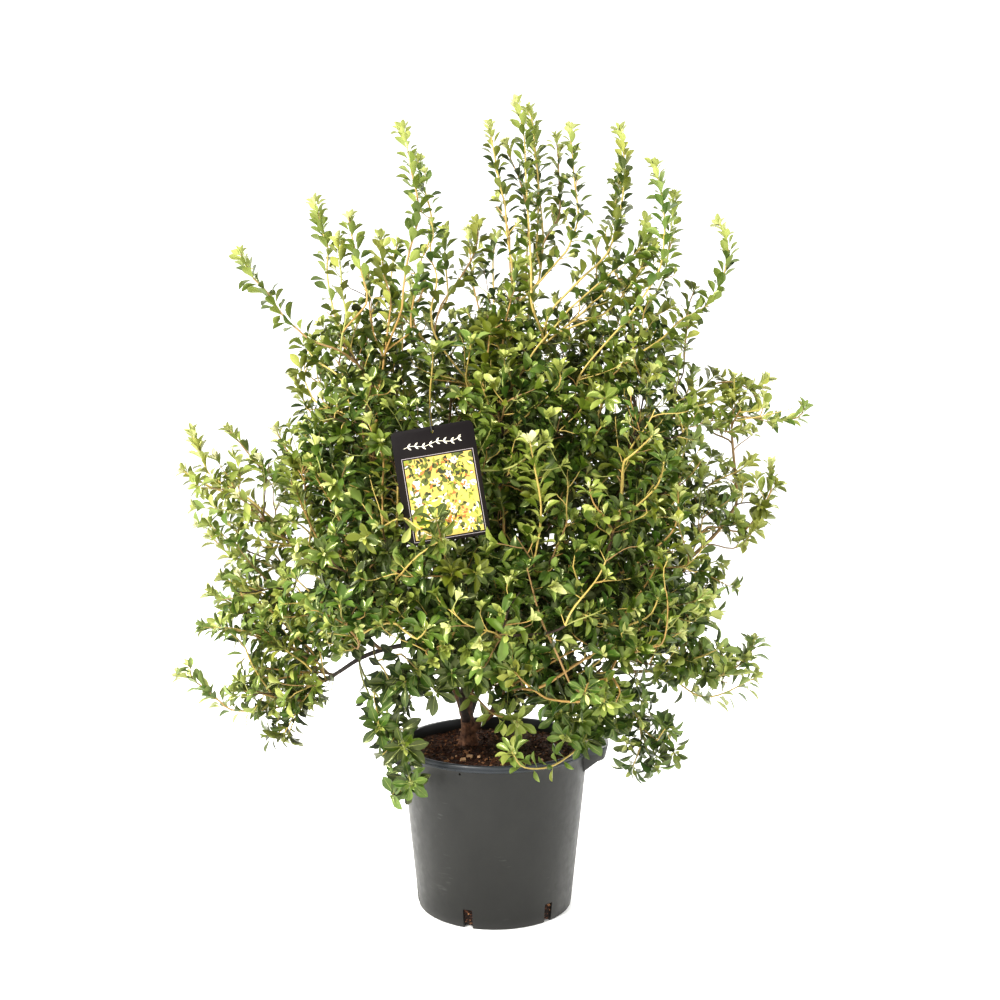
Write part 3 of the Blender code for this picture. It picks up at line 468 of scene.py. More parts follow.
# ------------------------------------------------------------------ stems that the photograph shows, foot to tip
# kind, depth at foot, depth at tip, length of leaf in mm, then the pixels that it passes
L, T, W = "long", "tuft", "whorl"
STEMS = (
    # left side, spreading
    (L, -0.02, -0.04, 27, (353, 353), (315, 342), (296, 328), (281, 313), (267, 292), (254, 279), (248, 269), (241, 254)),
    (L, 0.03, 0.04, 27, (353, 353), (344, 338), (336, 319), (330, 294), (327, 269), (328, 248), (323, 233), (319, 216), (315, 203)),
    (L, -0.04, -0.05, 25, (346, 334), (346, 313), (342, 292), (341, 273), (339, 254), (338, 240)),
    (L, -0.05, -0.07, 26, (364, 322), (367, 296), (362, 275), (357, 256), (352, 237), (349, 217)),
    (L, 0.00, 0.00, 27, (391, 324), (390, 296), (384, 275), (382, 256), (381, 238)),
    (L, 0.06, 0.07, 25, (388, 300), (392, 270), (394, 255), (398, 244)),
    (L, -0.06, -0.08, 27, (402, 326), (403, 292), (408, 258), (414, 235), (419, 216), (417, 195), (412, 174), (408, 151), (402, 129)),
    (L, -0.03, -0.05, 25, (435, 250), (431, 214), (425, 191), (421, 178), (418, 160)),
    (W, 0.02, 0.02, 36, (435, 338), (431, 311), (437, 279), (431, 258), (431, 236)),
    (L, 0.05, 0.04, 27, (433, 322), (443, 302), (462, 275), (473, 256), (478, 237), (477, 224)),
    (L, 0.10, 0.10, 25, (450, 311), (447, 280), (445, 255), (445, 231)),
    (T, -0.05, -0.06, 30, (322, 412), (313, 399), (306, 384), (301, 369)),
    (T, -0.02, -0.03, 30, (351, 390), (334, 372), (317, 361), (305, 346)),
    (L, 0.00, -0.02, 28, (372, 455), (369, 440), (366, 422), (362, 400)),
    # top, upright
    (L, -0.08, -0.10, 24, (514, 277), (507, 233), (505, 205), (501, 190), (496, 164), (493, 147), (489, 125)),
    (L, -0.02, -0.05, 24, (531, 225), (528, 212), (519, 178), (511, 160), (506, 143)),
    (L, 0.03, 0.00, 27, (531, 320), (531, 272), (529, 230), (526, 181), (524, 136), (517, 103)),
    (L, 0.04, 0.02, 27, (536, 300), (543, 246), (540, 200), (537, 168), (532, 120), (528, 110)),
    (L, 0.01, -0.02, 25, (536, 262), (538, 215), (538, 180), (536, 160), (534, 146)),
    (L, 0.09, 0.10, 25, (533, 275), (545, 240), (559, 216), (559, 181), (558, 155), (556, 137)),
    (L, -0.06, -0.06, 24, (562, 270), (567, 251), (577, 225), (578, 209), (575, 186), (573, 164), (570, 128)),
    (L, 0.05, 0.05, 28, (541, 320), (582, 278), (600, 262), (610, 248), (618, 220), (623, 194), (624, 158), (619, 130)),
    (L, 0.08, 0.08, 26, (600, 262), (611, 235), (616, 200), (620, 170)),
    (L, -0.04, -0.05, 28, (619, 329), (645, 294), (660, 268), (664, 240), (664, 212), (660, 184), (654, 165)),
    (L, -0.02, -0.03, 27, (662, 290), (668, 255), (672, 220), (674, 196)),
    (L, 0.00, 0.00, 28, (554, 322), (582, 298), (619, 266), (642, 246), (646, 222)),
    (L, 0.04, 0.04, 27, (593, 324), (619, 300), (640, 270), (650, 244)),
    (L, 0.02, 0.03, 27, (586, 394), (621, 365), (660, 340), (681, 320), (705, 307), (720, 285), (728, 255), (725, 234), (719, 224)),
    (T, 0.02, 0.02, 28, (681, 320), (688, 306), (694, 291)),
    (L, 0.06, 0.07, 26, (493, 340), (494, 309), (493, 262), (496, 238)),
    (L, 0.00, -0.01, 27, (500, 345), (506, 320), (513, 290), (517, 262)),
    (L, -0.03, -0.04, 27, (412, 345), (411, 318), (415, 292), (420, 270)),
    (L, 0.04, 0.04, 26, (378, 345), (372, 325), (369, 300), (366, 280)),
    (W, -0.10, -0.12, 38, (480, 400), (484, 375), (488, 350), (490, 330)),
    (W, -0.16, -0.20, 42, (432, 420), (430, 395), (432, 372), (433, 352)),
    (W, -0.14, -0.19, 42, (470, 405), (466, 380), (468, 362), (471, 344)),
    (L, -0.22, -0.26, 42, (502, 440), (524, 418), (543, 401), (560, 384), (559, 371)),
    (W, -0.12, -0.15, 42, (550, 455), (567, 416), (582, 403), (591, 392), (608, 379), (630, 360)),
    # left edge
    (L, -0.02, -0.04, 30, (300, 545), (284, 530), (266, 513), (249, 499), (233, 489), (210, 475), (200, 452), (191, 433)),
    (L, 0.02, 0.03, 28, (290, 490), (266, 473), (252, 458), (241, 444), (228, 429)),
    (L, -0.04, -0.05, 32, (379, 564), (362, 530), (348, 507), (330, 490), (313, 479), (298, 466), (286, 449), (276, 430)),
    (L, 0.04, 0.03, 26, (250, 500), (218, 490), (198, 480), (183, 471)),
    (L, -0.01, -0.02, 26, (262, 540), (240, 534), (224, 518), (214, 505), (206, 494)),
    (L, 0.03, 0.03, 30, (290, 575), (256, 560), (236, 559), (222, 548), (211, 536)),
    (L, 0.01, 0.01, 32, (326, 659), (298, 650), (262, 630), (246, 612), (225, 600), (211, 592)),
    (L, -0.03, -0.03, 30, (262, 680), (250, 660), (244, 646), (226, 630), (203, 627)),
    (L, 0.02, 0.02, 30, (288, 640), (287, 600), (285, 570), (270, 548)),
    (L, 0.03, 0.00, 30, (317, 689), (285, 705), (262, 710), (232, 710), (216, 698), (193, 680), (180, 676)),
    (T, 0.02, 0.00, 34, (300, 700), (288, 715), (283, 730), (270, 736)),
    (W, -0.02, -0.03, 34, (300, 705), (294, 720), (288, 736)),
    (L, -0.28, -0.30, 34, (380, 520), (383, 476), (383, 458), (373, 434), (368, 421)),
    # right edge
    (L, 0.00, 0.02, 30, (669, 388), (686, 405), (708, 412), (734, 416), (760, 418), (780, 420), (799, 417), (804, 407)),
    (L, -0.03, -0.02, 30, (639, 420), (660, 417), (686, 417), (706, 425), (728, 432), (745, 430)),
    (L, 0.03, 0.04, 30, (680, 400), (710, 385), (735, 382), (752, 390), (766, 380)),
    (W, 0.02, 0.02, 32, (690, 395), (705, 385), (714, 376)),
    (L, 0.00, 0.00, 30, (700, 490), (722, 478), (740, 470), (752, 460)),
    (L, 0.00, -0.01, 30, (690, 525), (716, 527), (743, 531), (760, 510), (771, 490), (771, 465)),
    (L, -0.02, -0.02, 28, (690, 560), (706, 572), (712, 560), (722, 566)),
    (L, 0.05, 0.03, 34, (640, 672), (686, 671), (712, 672), (735, 668), (748, 652), (752, 641)),
    (L, 0.02, 0.04, 34, (684, 694), (708, 697), (727, 692), (744, 683), (755, 678)),
    (W, 0.03, 0.02, 34, (700, 674), (716, 668), (722, 655)),
    (W, 0.03, 0.04, 38, (742, 668), (750, 655), (753, 645)),
    # front of the crown
    (L, -0.34, -0.37, 40, (537, 556), (541, 508), (534, 464), (530, 441)),
    (L, -0.30, -0.32, 36, (639, 560), (669, 536), (678, 516), (678, 492)),
    (W, -0.34, -0.38, 42, (602, 631), (632, 624), (651, 614), (658, 598)),
    (T, -0.34, -0.38, 34, (617, 527), (600, 512), (592, 500), (590, 489)),
    (L, -0.33, -0.34, 38, (593, 600), (580, 583), (573, 566), (578, 547)),
    (L, -0.36, -0.40, 40, (604, 700), (574, 702), (549, 699), (538, 693), (519, 677), (512, 663), (513, 648)),
    (W, -0.375, -0.40, 40, (577, 701), (570, 684), (557, 654), (541, 619), (527, 568)),
    (W, -0.36, -0.42, 42, (382, 606), (397, 624), (416, 639), (426, 630)),
    (W, -0.36, -0.41, 40, (391, 507), (403, 515), (418, 528), (441, 538)),
    (W, -0.34, -0.43, 40, (448, 578), (445, 556), (441, 538), (436, 520)),
    (W, -0.33, -0.40, 40, (391, 592), (402, 573), (419, 555), (441, 540)),
    (W, -0.24, -0.26, 40, (470, 680), (455, 645), (448, 620), (440, 608)),
    (W, -0.20, -0.31, 42, (420, 640), (445, 652), (470, 660), (488, 655)),
    (W, -0.34, -0.40, 38, (606, 680), (606, 690), (604, 702)),
    (L, -0.10, -0.14, 32, (330, 560), (318, 540), (306, 515), (296, 490)),
    (W, -0.12, -0.15, 34, (320, 600), (308, 590), (297, 580)),
    (L, -0.06, -0.10, 32, (325, 500), (310, 480), (298, 462), (290, 446)),
    (W, -0.10, -0.14, 34, (330, 540), (315, 552), (303, 560)),
    (L, -0.15, -0.20, 34, (345, 520), (330, 500), (318, 480), (310, 462)),
    (W, -0.10, -0.14, 34, (322, 575), (310, 566), (298, 548)),
    (W, -0.08, -0.12, 34, (318, 530), (304, 526), (292, 522)),
    (T, 0.00, -0.02, 30, (280, 560), (262, 575), (244, 584)),
    (T, 0.02, 0.00, 30, (286, 600), (262, 604), (240, 606)),
    (L, 0.00, -0.02, 30, (310, 640), (285, 622), (262, 604), (246, 592)),
    (T, 0.00, -0.02, 32, (305, 680), (280, 670), (258, 668)),
    (T, -0.01, -0.02, 32, (290, 700), (262, 694), (240, 690)),
    (W, -0.34, -0.38, 38, (622, 684), (620, 692), (616, 702)),
    (W, -0.34, -0.40, 38, (590, 672), (588, 682), (585, 692)),
    (W, -0.33, -0.40, 36, (460, 640), (455, 630), (452, 618)),
    (L, -0.30, -0.36, 36, (470, 700), (480, 672), (492, 645), (500, 622)),
    (W, -0.30, -0.38, 38, (500, 600), (505, 590), (512, 578)),
    (T, -0.30, -0.37, 36, (560, 600), (572, 610), (588, 616)),
    (L, -0.32, -0.36, 34, (640, 600), (652, 575), (660, 555)),
    (L, -0.30, -0.35, 34, (455, 470), (500, 470), (520, 462), (545, 440)),
    (W, -0.31, -0.36, 34, (600, 470), (622, 462), (640, 448), (652, 436)),
    (W, -0.30, -0.35, 34, (645, 505), (660, 480), (664, 462)),
    (W, -0.04, -0.06, 34, (322, 672), (303, 662), (283, 648)),
    (W, -0.03, -0.05, 34, (318, 684), (302, 688), (288, 700)),
    (L, -0.03, -0.06, 30, (326, 664), (306, 645), (286, 626), (268, 608)),
    (W, -0.02, -0.04, 34, (308, 690), (296, 712), (284, 734)),
    (W, 0.00, -0.02, 32, (300, 676), (282, 680), (262, 676)),
    (W, -0.05, -0.08, 34, (330, 650), (318, 640), (308, 626)),
    (W, -0.02, -0.04, 32, (262, 636), (244, 632), (226, 628)),
    (L, -0.02, -0.04, 30, (276, 600), (256, 590), (236, 584), (222, 578)),
    (W, -0.02, -0.04, 32, (250, 666), (262, 656), (272, 644)),
    (W, -0.14, -0.20, 36, (560, 652), (580, 648), (598, 640)),
    (W, -0.12, -0.18, 36, (585, 668), (600, 660), (612, 648)),
    (W, -0.10, -0.14, 36, (598, 682), (610, 670), (622, 658)),
    (W, -0.06, -0.10, 36, (690, 668), (704, 656), (716, 650)),
)
DROOPS = (
    # hanging stems: kind, depth at foot and tip, leaf length, pixels
    (W, 0.03, -0.17, 42, (354, 660), (370, 684), (388, 714), (402, 736), (407, 765), (409, 786)),
    (W, -0.06, -0.21, 40, (456, 668), (430, 672), (405, 682)),
    (W, -0.08, -0.16, 40, (478, 664), (466, 672), (446, 684)),
    (W, -0.08, -0.24, 34, (598, 716), (589, 737), (571, 754), (549, 767), (523, 767), (512, 752)),
    (W, -0.10, -0.20, 40, (485, 706), (496, 715), (508, 718), (517, 722)),
    (W, -0.10, -0.20, 38, (590, 705), (578, 722), (566, 738)),
    (W, 0.00, -0.02, 40, (633, 700), (639, 722), (641, 744), (632, 768)),
    (W, 0.00, -0.05, 38, (641, 735), (652, 745), (666, 727)),
    (W, 0.02, -0.02, 38, (640, 730), (648, 752), (655, 768)),
    (W, 0.02, -0.02, 36, (366, 694), (372, 706), (384, 742)),
    (W, -0.10, -0.24, 46, (388, 712), (396, 728), (404, 747)),
    (W, -0.14, -0.24, 36, (404, 748), (407, 765), (411, 784)),
    (W, -0.04, -0.20, 42, (372, 686), (376, 706), (379, 728)),
    (W, -0.02, -0.20, 42, (376, 660), (384, 670), (391, 684)),
    (W, -0.06, -0.22, 42, (396, 650), (406, 658), (417, 669)),
    (W, -0.06, -0.20, 40, (420, 676), (428, 682), (436, 692)),
    (W, -0.02, -0.18, 40, (420, 640), (424, 646), (430, 655)),
    (W, 0.00, -0.10, 40, (610, 668), (612, 682), (616, 698)),
    (W, 0.00, -0.12, 40, (588, 676), (593, 688), (598, 702)),
    (W, -0.02, -0.14, 40, (606, 690), (604, 702), (600, 716)),
    (W, 0.00, -0.10, 38, (618, 690), (616, 704), (612, 724)),
    (W, -0.04, -0.14, 38, (600, 716), (596, 726), (590, 738)),
    (W, -0.06, -0.16, 40, (575, 690), (574, 702), (570, 716)),
    (W, -0.04, -0.16, 38, (560, 690), (560, 702), (558, 714)),
    (W, -0.08, -0.18, 36, (590, 720), (588, 730), (583, 742)),
    (W, 0.02, -0.02, 38, (632, 720), (630, 730), (628, 744)),
    (W, 0.02, -0.02, 38, (655, 716), (662, 722), (668, 732)),
    (W, 0.02, -0.02, 34, (648, 740), (652, 748), (657, 758)),
    (W, 0.04, 0.00, 34, (664, 734), (672, 744), (674, 754)),
    (W, 0.03, 0.00, 38, (640, 700), (648, 708), (652, 718)),
)

BEHIND = (
    (L, 27, (-0.010, 0.250, 1.020), (-0.020, 0.262, 1.130), (-0.050, 0.262, 1.260), (-0.060, 0.250, 1.372)),
    (L, 27, (0.180, 0.180, 1.020), (0.192, 0.192, 1.130), (0.216, 0.200, 1.240), (0.220, 0.200, 1.338)),
    (L, 27, (0.060, 0.200, 1.050), (0.070, 0.235, 1.150), (0.075, 0.250, 1.260)),
    (L, 27, (-0.160, 0.180, 1.040), (-0.178, 0.205, 1.140), (-0.186, 0.215, 1.250)),
    (L, 28, (-0.260, 0.280, 0.800), (-0.330, 0.330, 0.835), (-0.395, 0.362, 0.820)),
    (L, 28, (0.280, 0.270, 0.800), (0.350, 0.330, 0.845), (0.405, 0.362, 0.835)),
    (L, 28, (0.020, 0.360, 0.850), (0.035, 0.430, 0.930), (0.040, 0.455, 1.000)),
    (L, 28, (-0.120, 0.350, 0.820), (-0.150, 0.420, 0.890), (-0.160, 0.440, 0.960)),
    (L, 28, (0.330, 0.150, 0.900), (0.400, 0.170, 0.990), (0.425, 0.170, 1.060)),
    (L, 28, (-0.330, 0.130, 0.900), (-0.400, 0.160, 0.980), (-0.430, 0.160, 1.050)),
)

# tips whose leaves are young and light all along, as pixel, pixel, reach
GLOWING = np.array(((441, 538, 16), (512, 752, 26), (517, 722, 10), (523, 455, 18), (530, 441, 14), (592, 489, 12), (183, 471, 14), (206, 494, 16), (211, 536, 14), (766, 380, 14)), float)

hand_made = []
for kind, leaf_mm, *points in BEHIND:
    hand_made.append((kind, leaf_mm * 0.001, catmull(points, max(4, int(np.linalg.norm(np.diff(np.array(points), axis=0), axis=1).sum() / 0.013))), False))
for row in STEMS + DROOPS:
    kind, y0, y1, leaf_mm, *pixels = row
    px = catmull([(x, y, 0.0) for x, y in pixels], 6 * len(pixels))[:, :2]
    if row in STEMS and abs(y0) < 0.11 and 300 < pixels[0][1] < 420 and pixels[0][0] < 640:  # the fans of bare stems lie in front of the leaves
        y0, y1 = y0 - 0.15, y1 - 0.04
    ys = np.linspace(y0, y1, len(px))
    pts = np.array([at(a, b, y) for (a, b), y in zip(px, ys)])
    # evenly spaced
    seg = np.linalg.norm(np.diff(pts, axis=0), axis=1)
    s = np.concatenate(([0], np.cumsum(seg)))
    n = max(3, int(s[-1] / 0.013))
    q = np.linspace(0, s[-1], n)
    pts = np.stack([np.interp(q, s, pts[:, i]) for i in range(3)], 1)
    if row in STEMS:
        low_side = pixels[0][1] > 600 and abs(pixels[0][0] - 500) > 140
        leaf_mm *= 0.76 if y1 < -0.28 else 1.0 if low_side else 0.86 if kind == W or leaf_mm > 31 else 1.03 if pixels[-1][1] < 300 else 0.95
    else:
        leaf_mm *= 0.90
    hand_made.append((kind, leaf_mm * 0.001, pts, row in DROOPS))

# level 2: branches spread through the masses, then twigs between them
cells = np.argwhere(inside)
cells = cells[rng.permutation(len(cells))]


def scatter(spacing, min_depth, taken, widest=0.10, sprays=False):
    """Points in the crown at least spacing(point, depth) apart."""
    grid = {}
    out = []

    def key(p):
        return tuple((p / widest).astype(int))

    for p in taken:
        grid.setdefault(key(p - LOW), []).append(p - LOW)
    for cell in cells[rng.permutation(len(cells))]:
        d = depth[tuple(cell)] * CELL
        kind = thin[tuple(cell)]
        if d < (0.010 if kind and sprays else min_depth) or (kind and not sprays):
            continue
        p = (cell + rng.random(3)) * CELL
        room = spacing(p + LOW, d)
        kx, ky, kz = key(p)
        near = False
        for a in (-1, 0, 1):
            for b in (-1, 0, 1):
                for c in (-1, 0, 1):
                    for q in grid.get((kx + a, ky + b, kz + c), ()):
                        if (q[0] - p[0]) ** 2 + (q[1] - p[1]) ** 2 + (q[2] - p[2]) ** 2 < room * room:
                            near = True
        if not near:
            grid.setdefault(key(p), []).append(p)
            out.append(p + LOW)
    return out


for p in sorted(scatter(lambda p, d: 0.100, 0.030, []), key=lambda p: np.linalg.norm(p - np.array(TRUNK_FORK))):
    grow_to(p, 2, 2, 0.016, 0.06)

# the stems seen in the photograph, each on a branch that reaches it
for kind, leaf, pts, hangs in hand_made:
    go = unit(pts[1] - pts[0])
    glow = bool((np.hypot(*(GLOWING[:, :2] - seen(pts[-1])).T) < GLOWING[:, 2]).any()) and pts[-1][1] < 0.15
    parent = find_parent(pts[0], 4, 0, end=go, bend=0.6)
    p0 = pos[parent]
    if np.linalg.norm(p0 - pts[0]) > 0.012:
        m = min(3, len(pts) - 2)
        lead = bent(p0, unit(0.6 * way[parent] + unit(pts[m] - p0)), pts[m], unit(pts[m + 1] - pts[m]), 0.014, 0.02, pull=0.70)
        pts = np.vstack((lead, pts[m + 1:]))
    lay(parent, pts, 4, "seen", leaf=leaf, style=kind, bare=max(0, len(pts) - 1 - (0 if kind == L else 6)) if kind != L else 0, hangs=hangs, glow=glow)

for p in sorted(scatter(lambda p, d: 0.068, 0.030, []), key=lambda p: np.linalg.norm(p - np.array(TRUNK_FORK))):
    grow_to(p, 3, 3, 0.016, 0.06)

# level 5: leafy shoots
taken = [pos[c["ids"][-1]] for c in chains if c["kind"] == "seen"]


def shoot_spacing(p, d):
    """Shoots stand close in the middle of the shrub and far apart at its sides and top."""
    kind = thin_at(p)
    if kind:
        return 0.034 if kind == 2 else 0.044 if p[0] < 0.1 else 0.048
    rho = math.hypot(p[0] * 0.95, p[1])
    room = float(np.interp(rho, (0.20, 0.34, 0.46, 0.62), (0.0370, 0.0390, 0.0480, 0.0560)))
    if p[2] > 1.0:
        room = max(room, float(np.interp(p[2], (1.0, 1.15, 1.3), (0.0365, 0.0400, 0.0460))))
    if p[2] < 0.66:
        room = min(room, float(np.interp(rho, (0.20, 0.34, 0.60), (0.0340, 0.0355, 0.0375))))
    return room


tips = scatter(shoot_spacing, 0.020, taken, sprays=True)
tips = np.array(tips)
px = seen(tips)
keep = ~in_gap(px, 1.1) & ~(over_label(px) & (tips[:, 1] < -0.20))
near_pot = open_front(px, tips[:, 1])
tips = tips[keep & ~near_pot]
shown = pos[:count][rank[:count] == 4]
near = np.array([np.linalg.norm(shown - p, axis=1).min() for p in tips])
spray = np.array([thin_at(p) for p in tips])
tips = tips[(spray == 0) | ((spray == 1) & (near < 0.060)) | ((spray == 2) & (near < 0.038) & (tips[:, 2] < 1.52))]
print("shoots", len(tips), "wood nodes", count)
for p in tips:
    d = float(depth_at(p))
    rho = math.hypot(p[0], p[1])
    end = unit(growth_way(p) + rng.normal(size=3) * (0.28 if p[2] > 1.0 else 0.38))
    hang = thin_at(p) == 1
    if hang:
        end = unit(np.array((0.0, -0.9, -0.15)) + rng.normal(size=3) * 0.45)
    elif p[2] < 0.50 and rng.random() < 0.4:
        end = unit(end + np.array((0, 0, -0.7)))
    slender = 0.95 if p[2] > 1.12 else 0.60 if rho > 0.36 or p[2] > 1.0 else 0.30
    kind = W if hang else L if rng.random() < slender else W
    size = np.interp(p[2], (0.4, 0.6, 0.9, 1.1, 1.3), (0.0335, 0.0320, 0.0300, 0.0280, 0.0270)) * rng.uniform(0.86, 1.14)
    level = 4 if thin_at(p) else 2 if slender > 0.5 or rng.random() < 0.3 else 3
    grow_to(p, 5, level, 0.015 if d < 0.08 else 0.022, 0.05, end=end, kind="shoot", leaf=size, style=kind, hangs=False, deep=d)
print("nodes", count, "chains", len(chains))

# ------------------------------------------------------------------ thickness by what each stem carries
flux = np.zeros(count)
for c in reversed(chains):
    ids = c["ids"]
    own = 1.0 if c["kind"] in ("shoot", "seen") else 0.6
    flux[ids] += 0.0
    acc = own
    for i in ids[::-1]:
        acc += flux[i]
        flux[i] = acc
    if c["parent"] >= 0:
        flux[c["parent"]] += acc
radius = 0.00085 * flux ** (1 / 2.75)
for c in chains:
    ids = c["ids"]
    n = len(ids)
    t = np.arange(1, n + 1) / n
    if c["kind"] == "bough":
        radius[ids] = c["r0"] + (c["r1"] - c["r0"]) * (np.arange(n) / (n - 1))
        continue
    cap = radius[c["parent"]] * 0.86
    if c["kind"] == "shoot":
        base = 0.00125 if c.get("deep", 0) > 0.08 else 0.0014
        radius[ids] = np.minimum(np.maximum(radius[ids], base + (0.00075 - base) * t), cap + 0.0002)
    elif c["kind"] == "seen":
        radius[ids] = np.minimum(np.maximum(radius[ids], 0.0026 + (0.0013 - 0.0026) * t), max(cap, 0.0018))
    else:
        radius[ids] = np.minimum(radius[ids], cap)


# ------------------------------------------------------------------ stems as tubes
def tube_arrays(points, radii, sides, flat_end=False):
    """Vertices and quads of one tapering tube with a pointed end."""
    n = len(points)
    tang = np.gradient(points, axis=0)
    tang = unit(tang)
    u = np.cross(tang[0], (0.3, 0.5, 0.81))
    u = u / max(np.linalg.norm(u), 1e-9)
    frames = []
    for k in range(n):
        u = u - tang[k] * (u @ tang[k])
        u = u / max(np.linalg.norm(u), 1e-9)
        frames.append(u)
    U = np.array(frames)
    V = np.cross(tang, U)
    a = 2 * math.pi * np.arange(sides) / sides
    ring = points[:, None, :] + radii[:, None, None] * (np.cos(a)[None, :, None] * U[:, None, :] + np.sin(a)[None, :, None] * V[:, None, :])
    verts = ring.reshape(-1, 3)
    k = np.arange(n - 1)[:, None] * sides
    j = np.arange(sides)[None, :]
    j2 = (j + 1) % sides
    quads = np.stack((k + j, k + j2, k + sides + j2, k + sides + j), -1).reshape(-1, 4)
    tip = points[-1] + tang[-1] * radii[-1] * 1.2
    verts = np.vstack((verts, tip))
    base = (n - 1) * sides
    tris = np.stack((base + np.arange(sides), base + (np.arange(sides) + 1) % sides, np.full(sides, n * sides)), -1)
    return verts, tris, quads


class Heap:
    """Collects many small pieces for one joined mesh."""

    def __init__(self):
        self.v, self.t, self.q, self.n = [], [], [], 0

    def add(self, v, t, q):
        self.v.append(v)
        if len(t):
            self.t.append(np.asarray(t) + self.n)
        if len(q):
            self.q.append(np.asarray(q) + self.n)
        self.n += len(v)

    def faces(self):
        return sum(len(t) for t in self.t) + 2 * sum(len(q) for q in self.q)

    def object(self, name, mat, smooth=True):
        v = np.vstack(self.v)
        t = np.vstack(self.t) if self.t else np.zeros((0, 3), int)
        q = np.vstack(self.q) if self.q else np.zeros((0, 4), int)
        return build(name, v, t, q, mat, smooth)


# ------------------------------------------------------------------ leaves
ROWS = np.array((0.12, 0.33, 0.55, 0.76, 0.92))
HALF = np.array((0.26, 0.68, 1.00, 0.88, 0.44))
ROWS_MID = np.array((0.16, 0.42, 0.68, 0.88))
HALF_MID = np.array((0.38, 0.84, 1.00, 0.60))
ROWS_LOW = np.array((0.24, 0.58, 0.84))
HALF_LOW = np.array((0.50, 1.00, 0.66))
ROWS_FAR = np.array((0.30, 0.68))
HALF_FAR = np.array((0.62, 1.00))


def leaf_template(fold, curl, twist, wave, outline):
    """Points of a leaf of length 1 and half width 1 across: u along it, v across, w up."""
    rows, half = outline
    pts = [(0.0, 0.0, 0.0)]
    for k, (u, h) in enumerate(zip(rows, half)):
        for side in (-1.0, 0.0, 1.0):
            v = side * h
            w = fold * abs(v) * 0.42 - curl * u * u + twist * side * u + wave * math.sin(9 * u + 2 * side) * abs(side)
            pts.append((u, v, w))
    pts.append((1.0, 0.0, -curl * 1.05))
    n = len(rows)
    tris = [(0, 2, 1), (0, 3, 2)]
    quads = []
    for k in range(n - 1):
        a, b = 1 + 3 * k, 4 + 3 * k
        quads += [(a, a + 1, b + 1, b), (a + 1, a + 2, b + 2, b + 1)]
    a, e = 1 + 3 * (n - 1), 1 + 3 * n
    tris += [(a, a + 1, e), (a + 1, a + 2, e)]
    tris[0], tris[1] = (0, 2, 1), (0, 3, 2)
    return np.array(pts), np.array(tris), np.array(quads)


VARIANTS = ((0.40, 0.08, 0.02, 0.012), (0.62, 0.16, -0.03, 0.015), (0.25, 0.24, 0.04, 0.022), (0.50, -0.05, -0.02, 0.014), (0.40, 0.34, 0.03, 0.012))
NEAR_T = [leaf_template(*v, (ROWS, HALF)) for v in VARIANTS]
MID_T = [leaf_template(*v, (ROWS_MID, HALF_MID)) for v in VARIANTS]
LOW_T = [leaf_template(*v, (ROWS_LOW, HALF_LOW)) for v in VARIANTS]
FAR_T = [leaf_template(*v, (ROWS_FAR, HALF_FAR)) for v in VARIANTS]

owned = 0
number = 0
hue = 0  # 1 for a spray of cooler green, 2 for an olive one
leaf_rows = []  # base, direction, normal, length, half width, petiole length, tone, far, variant


def add_leaf(base, direction, normal, length, wide, petiole, tone, far):
    leaf_rows.append((*base, *direction, *normal, length, wide, petiole, tone, far, int(rng.integers(len(VARIANTS))), owned, number, hue))


def tone_of(base_tone, spread=0.3):
    t = base_tone
    die = rng.random()
    if die < spread:
        t += 1
    elif die < 1.75 * spread:
        t -= 1
    return int(min(max(t, 0), 5))


def side_frame(axis, turn):
    a = np.cross(axis, UP)
    if np.linalg.norm(a) < 0.1:
        a = np.cross(axis, (1.0, 0.0, 0.0))
    a = unit(a)
    b = np.cross(axis, a)
    return a * math.cos(turn) + b * math.sin(turn)


def leaf_on(p, axis, turn, tilt, length, tone, far, light=0.35, stem_r=0.001):
    """One leaf from a stem at p: it leaves the axis at a tilt and turns its face to the light."""
    side = side_frame(axis, turn)
    go = axis * math.cos(tilt) + side * math.sin(tilt)
    go = unit(go + 0.18 * light * UP + rng.normal(size=3) * 0.07)
    face = axis - go * (axis @ go)
    sky = UP - go * (UP @ go)
    face = unit(face + light * sky + rng.normal(size=3) * 0.16 + np.cross(go, face) * rng.normal() * 0.30)
    face = unit(face - go * (face @ go))
    wide = length * rng.uniform(*((0.230, 0.295) if p[2] > 1.0 else (0.190, 0.255)))
    add_leaf(p + side * stem_r * 0.5, go, face, length * rng.uniform(0.88, 1.10), wide, length * rng.uniform(0.14, 0.22) if owned else 0.0, tone, far)


